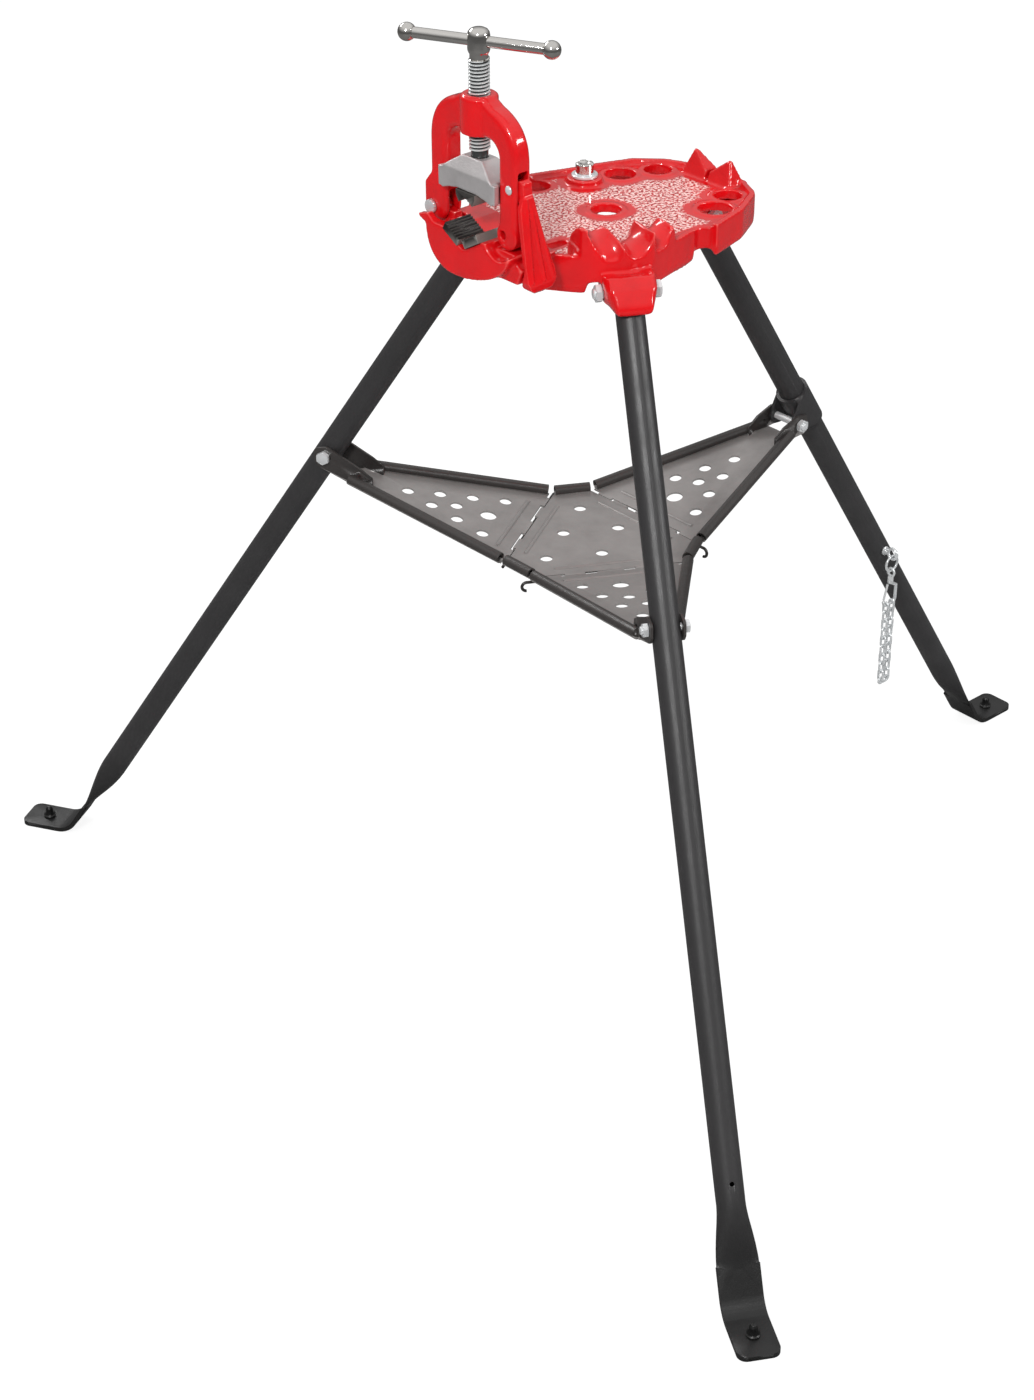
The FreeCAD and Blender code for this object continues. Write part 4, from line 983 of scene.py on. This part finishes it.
@dataclass
class ViseScrew(Assembly):
    """The vise screw, its drilled head and the sliding bar.

    Attributes:
        x: Axis position, in mm.
        major: Thread diameter.
        pitch: Rise of a turn.
        start: Where the thread starts.
        stop: Where it ends.
        bar_z: Height of the sliding bar's hole.
        bar_hole: Its diameter.
        bar_azimuth: Its direction, in degrees.
    """

    x: float = -144.0
    major: float = 19.05
    pitch: float = 3.175
    start: float = 900.2
    stop: float = 984.0
    bar_z: float = 999.0
    bar_hole: float = 10.3
    bar_azimuth: float = -64.0

    def build(self, nickel: bpy.types.Material) -> None:
        """Builds the screw and dresses the bar and its balls.

        Args:
            nickel: The bright plate of head and bar.
        """
        foot, middle = at(self.x, 0, 0), at(self.x, 0, self.bar_z)
        root = self.major / 2 - 0.58 * self.pitch
        core = turned([(0, 887.0), (7.0, 887.0), (7.5, 887.6), (7.5, 897.4), (root, self.start),
                       (root, self.stop - 0.6), (8.2, self.stop), (8.2, 987.6), (9.2, 989.4), (9.9, 991.2),
                       (10.0, 993.0), (10.0, 1004.2), (9.5, 1006.8), (8.0, 1008.9), (5.6, 1010.2), (2.8, 1010.8),
                       (0, 1011.0)], foot, 64)
        angle = math.radians(self.bar_azimuth)
        bpy.ops.object.select_all(action="DESELECT")
        bpy.ops.mesh.primitive_cylinder_add(vertices=40, radius=self.bar_hole / 2 * MM, depth=60 * MM,
                                            location=middle)
        drill = bpy.context.active_object
        lay_along(drill, middle, Vector((math.cos(angle), math.sin(angle), 0)))
        modify(core, "BOOLEAN", operation="DIFFERENCE", object=drill, solver="EXACT")
        bpy.data.objects.remove(drill)
        ridge = thread_ridge(foot, self.start, self.stop - 1.0, self.major, self.pitch, 40)
        piece = join("vise_screw_threaded", [ridge, core])
        finish_mesh(piece)
        smooth_by_angle(piece, 35)
        self.keep(piece, ["vise_screw"], [THREAD.material(), nickel], Slot.CHROME)
        for polygon in piece.data.polygons:
            polygon.material_index = 1 if polygon.center.z > (self.stop - 0.8) * MM else 0
        self.plain("handle_bar", nickel, Slot.CHROME)
        self.plain("handle_balls", nickel, Slot.CHROME, 50)


@dataclass
class Jaws(Assembly):
    """The toothed jaw blocks.

    Attributes:
        edge: Width of the broken edges, in mm.
    """

    edge: float = 0.25

    def build(self, steel: bpy.types.Material) -> None:
        """Dresses the jaws with slightly broken edges.

        Args:
            steel: The dark jaw steel.
        """
        for node in ("lower_jaw_left", "lower_jaw_right", "upper_jaw"):
            piece = cad_copy(node + "_block", node)
            modify(piece, "BEVEL", width=self.edge * MM, segments=2, limit_method="ANGLE",
                   angle_limit=math.radians(35))
            smooth_by_angle(piece, 30)
            self.keep(piece, [node], [steel], Slot.JAW)


@dataclass(frozen=True)
class BoltSize:
    """Sizes of a hexagon bolt and its nut, in mm.

    Attributes:
        shank: Diameter.
        flats: Width across the flats of head and nut.
        head: Height of the head.
        nut: Height of the nut.
    """

    shank: float
    flats: float
    head: float
    nut: float


@dataclass
class Fasteners(Assembly):
    """Hexagon bolts and nuts at the leg sockets and tray ears; all sizes in mm.

    Attributes:
        socket_half: Half width of a leg socket.
        ears: Each tray bolt's distance from the centre line, its height and half the width of what it passes.
        ear_grip: One ear's thickness with its gaps.
        leg_size: The leg bolts.
        tray_size: The tray bolts.
    """

    socket_half: float = 24.05
    ears: dict[str, tuple[float, float, float]] = field(default_factory=lambda: {
        "front_far": (277.9, 519.285, 13.35), "front_near": (277.9, 519.285, 13.35),
        "rear": (270.692, 507.678, 16.85)})
    ear_grip: float = 3.2
    leg_size: BoltSize = BoltSize(10.0, 15.0, 6.5, 6.0)
    tray_size: BoltSize = BoltSize(8.0, 12.0, 5.0, 5.0)

    def set_of(self, middle: Vector, across: Vector, half: float, size: BoltSize
               ) -> tuple[bpy.types.Object, bpy.types.Object]:
        """One bolt with its nut.

        Args:
            middle: The middle of the grip, in metres.
            across: The bolt's direction, towards its head.
            half: Half the grip, in mm.
            size: The bolt's sizes.

        Returns:
            The bolt and the nut.
        """
        top = hex_prism(middle + Vector((0, 0, half * MM)), size.flats, size.head, False)
        radius, end = size.shank / 2, -half - size.nut - 2.0
        body = turned([(0, end), (radius - 0.7, end), (radius - 0.1, end + 0.7), (radius - 0.1, half),
                       (0, half + 0.5)], middle, 32)
        bolt = join("bolt", [top, body])
        lay_along(bolt, middle, across)
        ring = hex_prism(middle + Vector((0, 0, (-half - size.nut) * MM)), size.flats, size.nut, True)
        low, high = -half - size.nut - 1, 1 - half
        bore = turned([(0, low), (radius + 0.05, low), (radius + 0.05, high), (0, high)], middle, 32)
        modify(ring, "BOOLEAN", operation="DIFFERENCE", object=bore, solver="EXACT")
        bpy.data.objects.remove(bore)
        lay_along(ring, middle, across)
        return bolt, ring

    def build(self, zinc: bpy.types.Material) -> None:
        """Builds every set.

        Args:
            zinc: The plate.
        """
        bolts, nuts = [], []
        for azimuth, radius in PIVOTS.values():
            a = math.radians(azimuth)
            middle = at(radius * math.cos(a), radius * math.sin(a), PIVOT_Z)
            bolt, nut = self.set_of(middle, Vector((-math.sin(a), math.cos(a), 0)), self.socket_half,
                                    self.leg_size)
            bolts.append(bolt)
            nuts.append(nut)
        for name, parts in (("leg_bolts", bolts), ("leg_nuts", nuts)):
            piece = join(name + "_set", parts)
            finish_mesh(piece)
            smooth_by_angle(piece, 28)
            self.keep(piece, [name], [zinc], Slot.ZINC)
        for leg, (azimuth, _) in PIVOTS.items():
            a = math.radians(azimuth)
            u, z, half = self.ears[leg]
            middle = at(u * math.cos(a), u * math.sin(a), z)
            bolt, nut = self.set_of(middle, Vector((-math.sin(a), math.cos(a), 0)), half + self.ear_grip,
                                    self.tray_size)
            for name, piece in (("tray_bolt_" + leg, bolt), ("tray_nut_" + leg, nut)):
                piece.name = name + "_hex"
                finish_mesh(piece)
                smooth_by_angle(piece, 28)
                self.keep(piece, [name], [zinc], Slot.ZINC)


class Legs(Assembly):
    """Tube legs, their studs and the rear collar."""

    def build(self, coat: bpy.types.Material, oxide: bpy.types.Material) -> None:
        """Dresses the legs.

        Args:
            coat: The powder coat.
            oxide: The studs' finish.
        """
        for node in ("leg_front_far", "leg_front_near", "leg_rear", "rear_collar"):
            self.plain(node, coat, Slot.BLACK, 38)
        for leg in ("front_far", "front_near", "rear"):
            self.plain("foot_stud_" + leg, oxide, Slot.STUD)


@dataclass
class Tray(Assembly):
    """The folding tray: sheets in grey, rolled rims and ears darker; all sizes in mm.

    Attributes:
        knuckle: The arms' hinges' distance from the centre line.
        level: Their height.
        slope: How steeply the arms rise outwards, in degrees.
        over: Height over a sheet's middle from which all is rim.
        under: The same below it.
    """

    knuckle: float = 69.0
    level: float = 465.0
    slope: float = 9.5
    over: float = 2.6
    under: float = -1.6

    def build(self, sheet: bpy.types.Material, rim: bpy.types.Material, zinc: bpy.types.Material) -> None:
        """Dresses the tray.

        Args:
            sheet: The sheets' paint.
            rim: The rims' paint.
            zinc: Not used.
        """
        tilt = math.radians(self.slope)
        for leg, (azimuth, _) in PIVOTS.items():
            a = math.radians(azimuth)
            piece = cad_copy("tray_arm_" + leg + "_sheet", "tray_arm_" + leg)
            smooth_by_angle(piece, 35, even=True)
            self.keep(piece, ["tray_arm_" + leg], [sheet, rim], Slot.GREY)
            for polygon in piece.data.polygons:
                c = polygon.center
                x = (c.x / MM - TABLE_X) * math.cos(a) + c.y / MM * math.sin(a) - self.knuckle
                height = (c.z / MM - self.level) * math.cos(tilt) - x * math.sin(tilt)
                polygon.material_index = 0 if self.under <= height <= self.over else 1
        piece = cad_copy("tray_plate_sheet", "tray_plate")
        smooth_by_angle(piece, 35, even=True)
        self.keep(piece, ["tray_plate"], [sheet, rim], Slot.GREY)
        for polygon in piece.data.polygons:
            polygon.material_index = 1 if polygon.center.z / MM > self.level + self.over else 0
        self.plain("hinge_wires", rim, Slot.ZINC)


@dataclass
class SmallSteel(Assembly):
    """Pins, rivet, ceiling brace and the chain.

    Attributes:
        brace_x: The brace screw's place along the clamped pipe, in mm.
        brace_y: Its place across it.
        brace_pitch: Its thread's rise of a turn.
    """

    brace_x: float = 52.0
    brace_y: float = 75.0
    brace_pitch: float = 2.0

    def build(self, zinc: bpy.types.Material, nickel: bpy.types.Material) -> None:
        """Dresses the small steel pieces.

        Args:
            zinc: The dull plate.
            nickel: The bright plate.
        """
        for node in ("yoke_pin", "hook_rivet", "chain_eye", "chain_ring", "snap_hook", "snap_gate", "chain_links"):
            self.plain(node, zinc, Slot.ZINC, 45)
        self.brace(zinc, nickel)

    def brace(self, zinc: bpy.types.Material, nickel: bpy.types.Material) -> None:
        """Builds the brace screw with its thread and dresses the crown.

        Args:
            zinc: The screw's plate.
            nickel: The crown's plate.
        """
        foot = at(self.brace_x, self.brace_y, 0)
        core = turned([(0, 738), (6.6, 738), (7.0, 739), (7.0, 805.8), (7.4, 806.3), (12.3, 806.3), (12.6, 806.6),
                       (12.6, 808.5), (12.2, 808.9), (9.6, 809.0), (9.6, 810.1), (9.3, 810.4), (5.0, 810.4),
                       (5.0, 816.4), (0, 816.4)], foot, 48)
        ridge = thread_ridge(foot, 740, 804, 16.0, self.brace_pitch, 28)
        piece = join("brace_screw_threaded", [ridge, core])
        finish_mesh(piece)
        smooth_by_angle(piece, 35)
        self.keep(piece, ["brace_screw"], [zinc], Slot.ZINC)
        self.plain("brace_crown", nickel, Slot.CHROME)


@dataclass
class Studio:
    """A pale floor, soft lamps and the camera.

    Attributes:
        eye: Camera position, in row-frame metres.
        forward: Where it looks.
        right: Its right-hand direction.
        lens: Focal length, for a 36 mm sensor along the picture's long side.
        aim: The point that the lamps face.
        floor_drop: Gap between the object's feet and the floor, so that their faces don't coincide.
        floor_white: Strength of the floor's own white.
        floor_share: How much of that white the camera sees in place of the lit floor.
        floor_lit: The lit floor's colour.
        floor_mirrored: Its colour in reflections, darker, so that bright metal keeps its contrast.
        dim: Height of sky and its strength as a light, near the horizon.
        bright: The same high up.
    """

    eye: tuple[float, float, float] = (-1.839171, -1.7695, 1.7636)
    forward: tuple[float, float, float] = (0.566911, 0.638377, -0.520659)
    right: tuple[float, float, float] = (0.746385, -0.665507, -0.003286)
    lens: float = 71.874
    aim: tuple[float, float, float] = (-0.1, 0.0, 0.6)
    floor_drop: float = 0.0005
    floor_white: float = 1.10
    floor_share: float = 0.80
    floor_lit: Colour = (0.88, 0.88, 0.88)
    floor_mirrored: Colour = (0.16, 0.16, 0.16)
    dim: tuple[float, float] = (0.05, 0.12)
    bright: tuple[float, float] = (0.75, 0.80)

    def camera(self) -> None:
        """Places the camera."""
        data = bpy.data.cameras.new("camera")
        data.lens, data.sensor_width, data.sensor_fit = self.lens, 36.0, "AUTO"
        data.clip_start, data.clip_end = 0.05, 60.0
        camera = bpy.data.objects.new("camera", data)
        bpy.context.scene.collection.objects.link(camera)
        forward, right = Vector(self.forward).normalized(), Vector(self.right).normalized()
        up = right.cross(forward)
        turn = Matrix((right, up, -forward)).transposed().to_4x4()
        camera.matrix_world = Matrix.Translation(Vector(self.eye)) @ turn
        bpy.context.scene.camera = camera

    def lamp(self, name: str, place: tuple[float, float, float], size: tuple[float, float], power: float) -> None:
        """Adds a soft box that faces the vise.

        Args:
            name: The lamp's name.
            place: Its position in metres.
            size: Its sides in metres.
            power: Its power in watts.
        """
        data = bpy.data.lights.new(name, "AREA")
        data.shape, data.size, data.size_y, data.energy = "RECTANGLE", size[0], size[1], power
        lamp = bpy.data.objects.new(name, data)
        bpy.context.scene.collection.objects.link(lamp)
        lamp.location = place
        lamp.rotation_mode = "QUATERNION"
        lamp.rotation_quaternion = (Vector(place) - Vector(self.aim)).to_track_quat("Z", "Y")

    def floor(self) -> None:
        """Lays the pale floor, which keeps the object's shadow."""
        bpy.ops.object.select_all(action="DESELECT")
        bpy.ops.mesh.primitive_circle_add(vertices=96, radius=14.0, fill_type="NGON",
                                          location=(0, 0, -self.floor_drop))
        floor = bpy.context.active_object
        floor.name = "studio_floor"
        material = bpy.data.materials.new("studio_floor")
        material.use_nodes = True
        g = Graph(material.node_tree)
        shader = material.node_tree.nodes["Principled BSDF"]
        path = g.node("ShaderNodeLightPath")
        g.feed(shader.inputs["Base Color"],
               g.mix(path.outputs["Is Glossy Ray"], self.floor_lit, self.floor_mirrored))
        shader.inputs["Roughness"].default_value = 0.9
        shader.inputs["Specular IOR Level"].default_value = 0.0
        white = g.node("ShaderNodeEmission", Color=(1.0, 1.0, 1.0), Strength=self.floor_white)
        share = g.math("MULTIPLY", path.outputs["Is Camera Ray"], self.floor_share)
        blend = g.tree.nodes.new("ShaderNodeMixShader")
        g.feed(blend.inputs[0], share)
        g.feed(blend.inputs[1], shader.outputs["BSDF"])
        g.feed(blend.inputs[2], white.outputs["Emission"])
        g.feed(g.tree.nodes["Material Output"].inputs["Surface"], blend.outputs["Shader"])
        floor.data.materials.append(material)

    def world(self) -> None:
        """Sets a sky that looks white and lights the object from above."""
        world = bpy.data.worlds.new("studio")
        bpy.context.scene.world = world
        world.use_nodes = True
        g = Graph(world.node_tree)
        path = g.node("ShaderNodeLightPath")
        seen = g.math("MAXIMUM", path.outputs["Is Camera Ray"], path.outputs["Is Transmission Ray"])
        height = g.node("ShaderNodeSeparateXYZ", Vector=g.node("ShaderNodeTexCoord").outputs["Generated"])
        light = g.ramp(height.outputs["Z"], self.dim[0], self.bright[0], self.dim[1], self.bright[1])
        strength = g.math("MAXIMUM", seen, light)
        back = world.node_tree.nodes["Background"]
        back.inputs["Color"].default_value = (1, 1, 1, 1)
        g.feed(back.inputs["Strength"], strength)

    def build(self) -> None:
        """Builds the whole set."""
        self.camera()
        self.floor()
        self.world()
        self.lamp("key", (-2.6, -1.5, 2.9), (0.5, 0.5), 76.0)
        self.lamp("fill", (1.6, -2.8, 2.0), (1.2, 0.4), 38.0)
        self.lamp("rim", (-0.2, 2.6, 2.4), (1.8, 0.4), 30.0)
        bpy.context.scene.view_settings.view_transform = "Standard"


def main() -> None:
    """Builds the stand's looks and the studio."""
    logging.basicConfig(level=logging.INFO, format="%(message)s")
    enamel, powder = ENAMEL.material(), POWDER.material()
    grey, rim = TRAY_GREY.material(), TRAY_RIM.material()
    zinc, nickel = ZINC.material(), NICKEL.material()
    CastIron().build(enamel, SATIN.material())
    ViseScrew().build(nickel)
    Jaws().build(JAW_STEEL.material())
    Fasteners().build(zinc)
    Legs().build(powder, BLACK_OXIDE.material())
    Tray().build(grey, rim, zinc)
    SmallSteel().build(zinc, nickel)
    Studio().build()


if __name__ == "__main__":
    main()
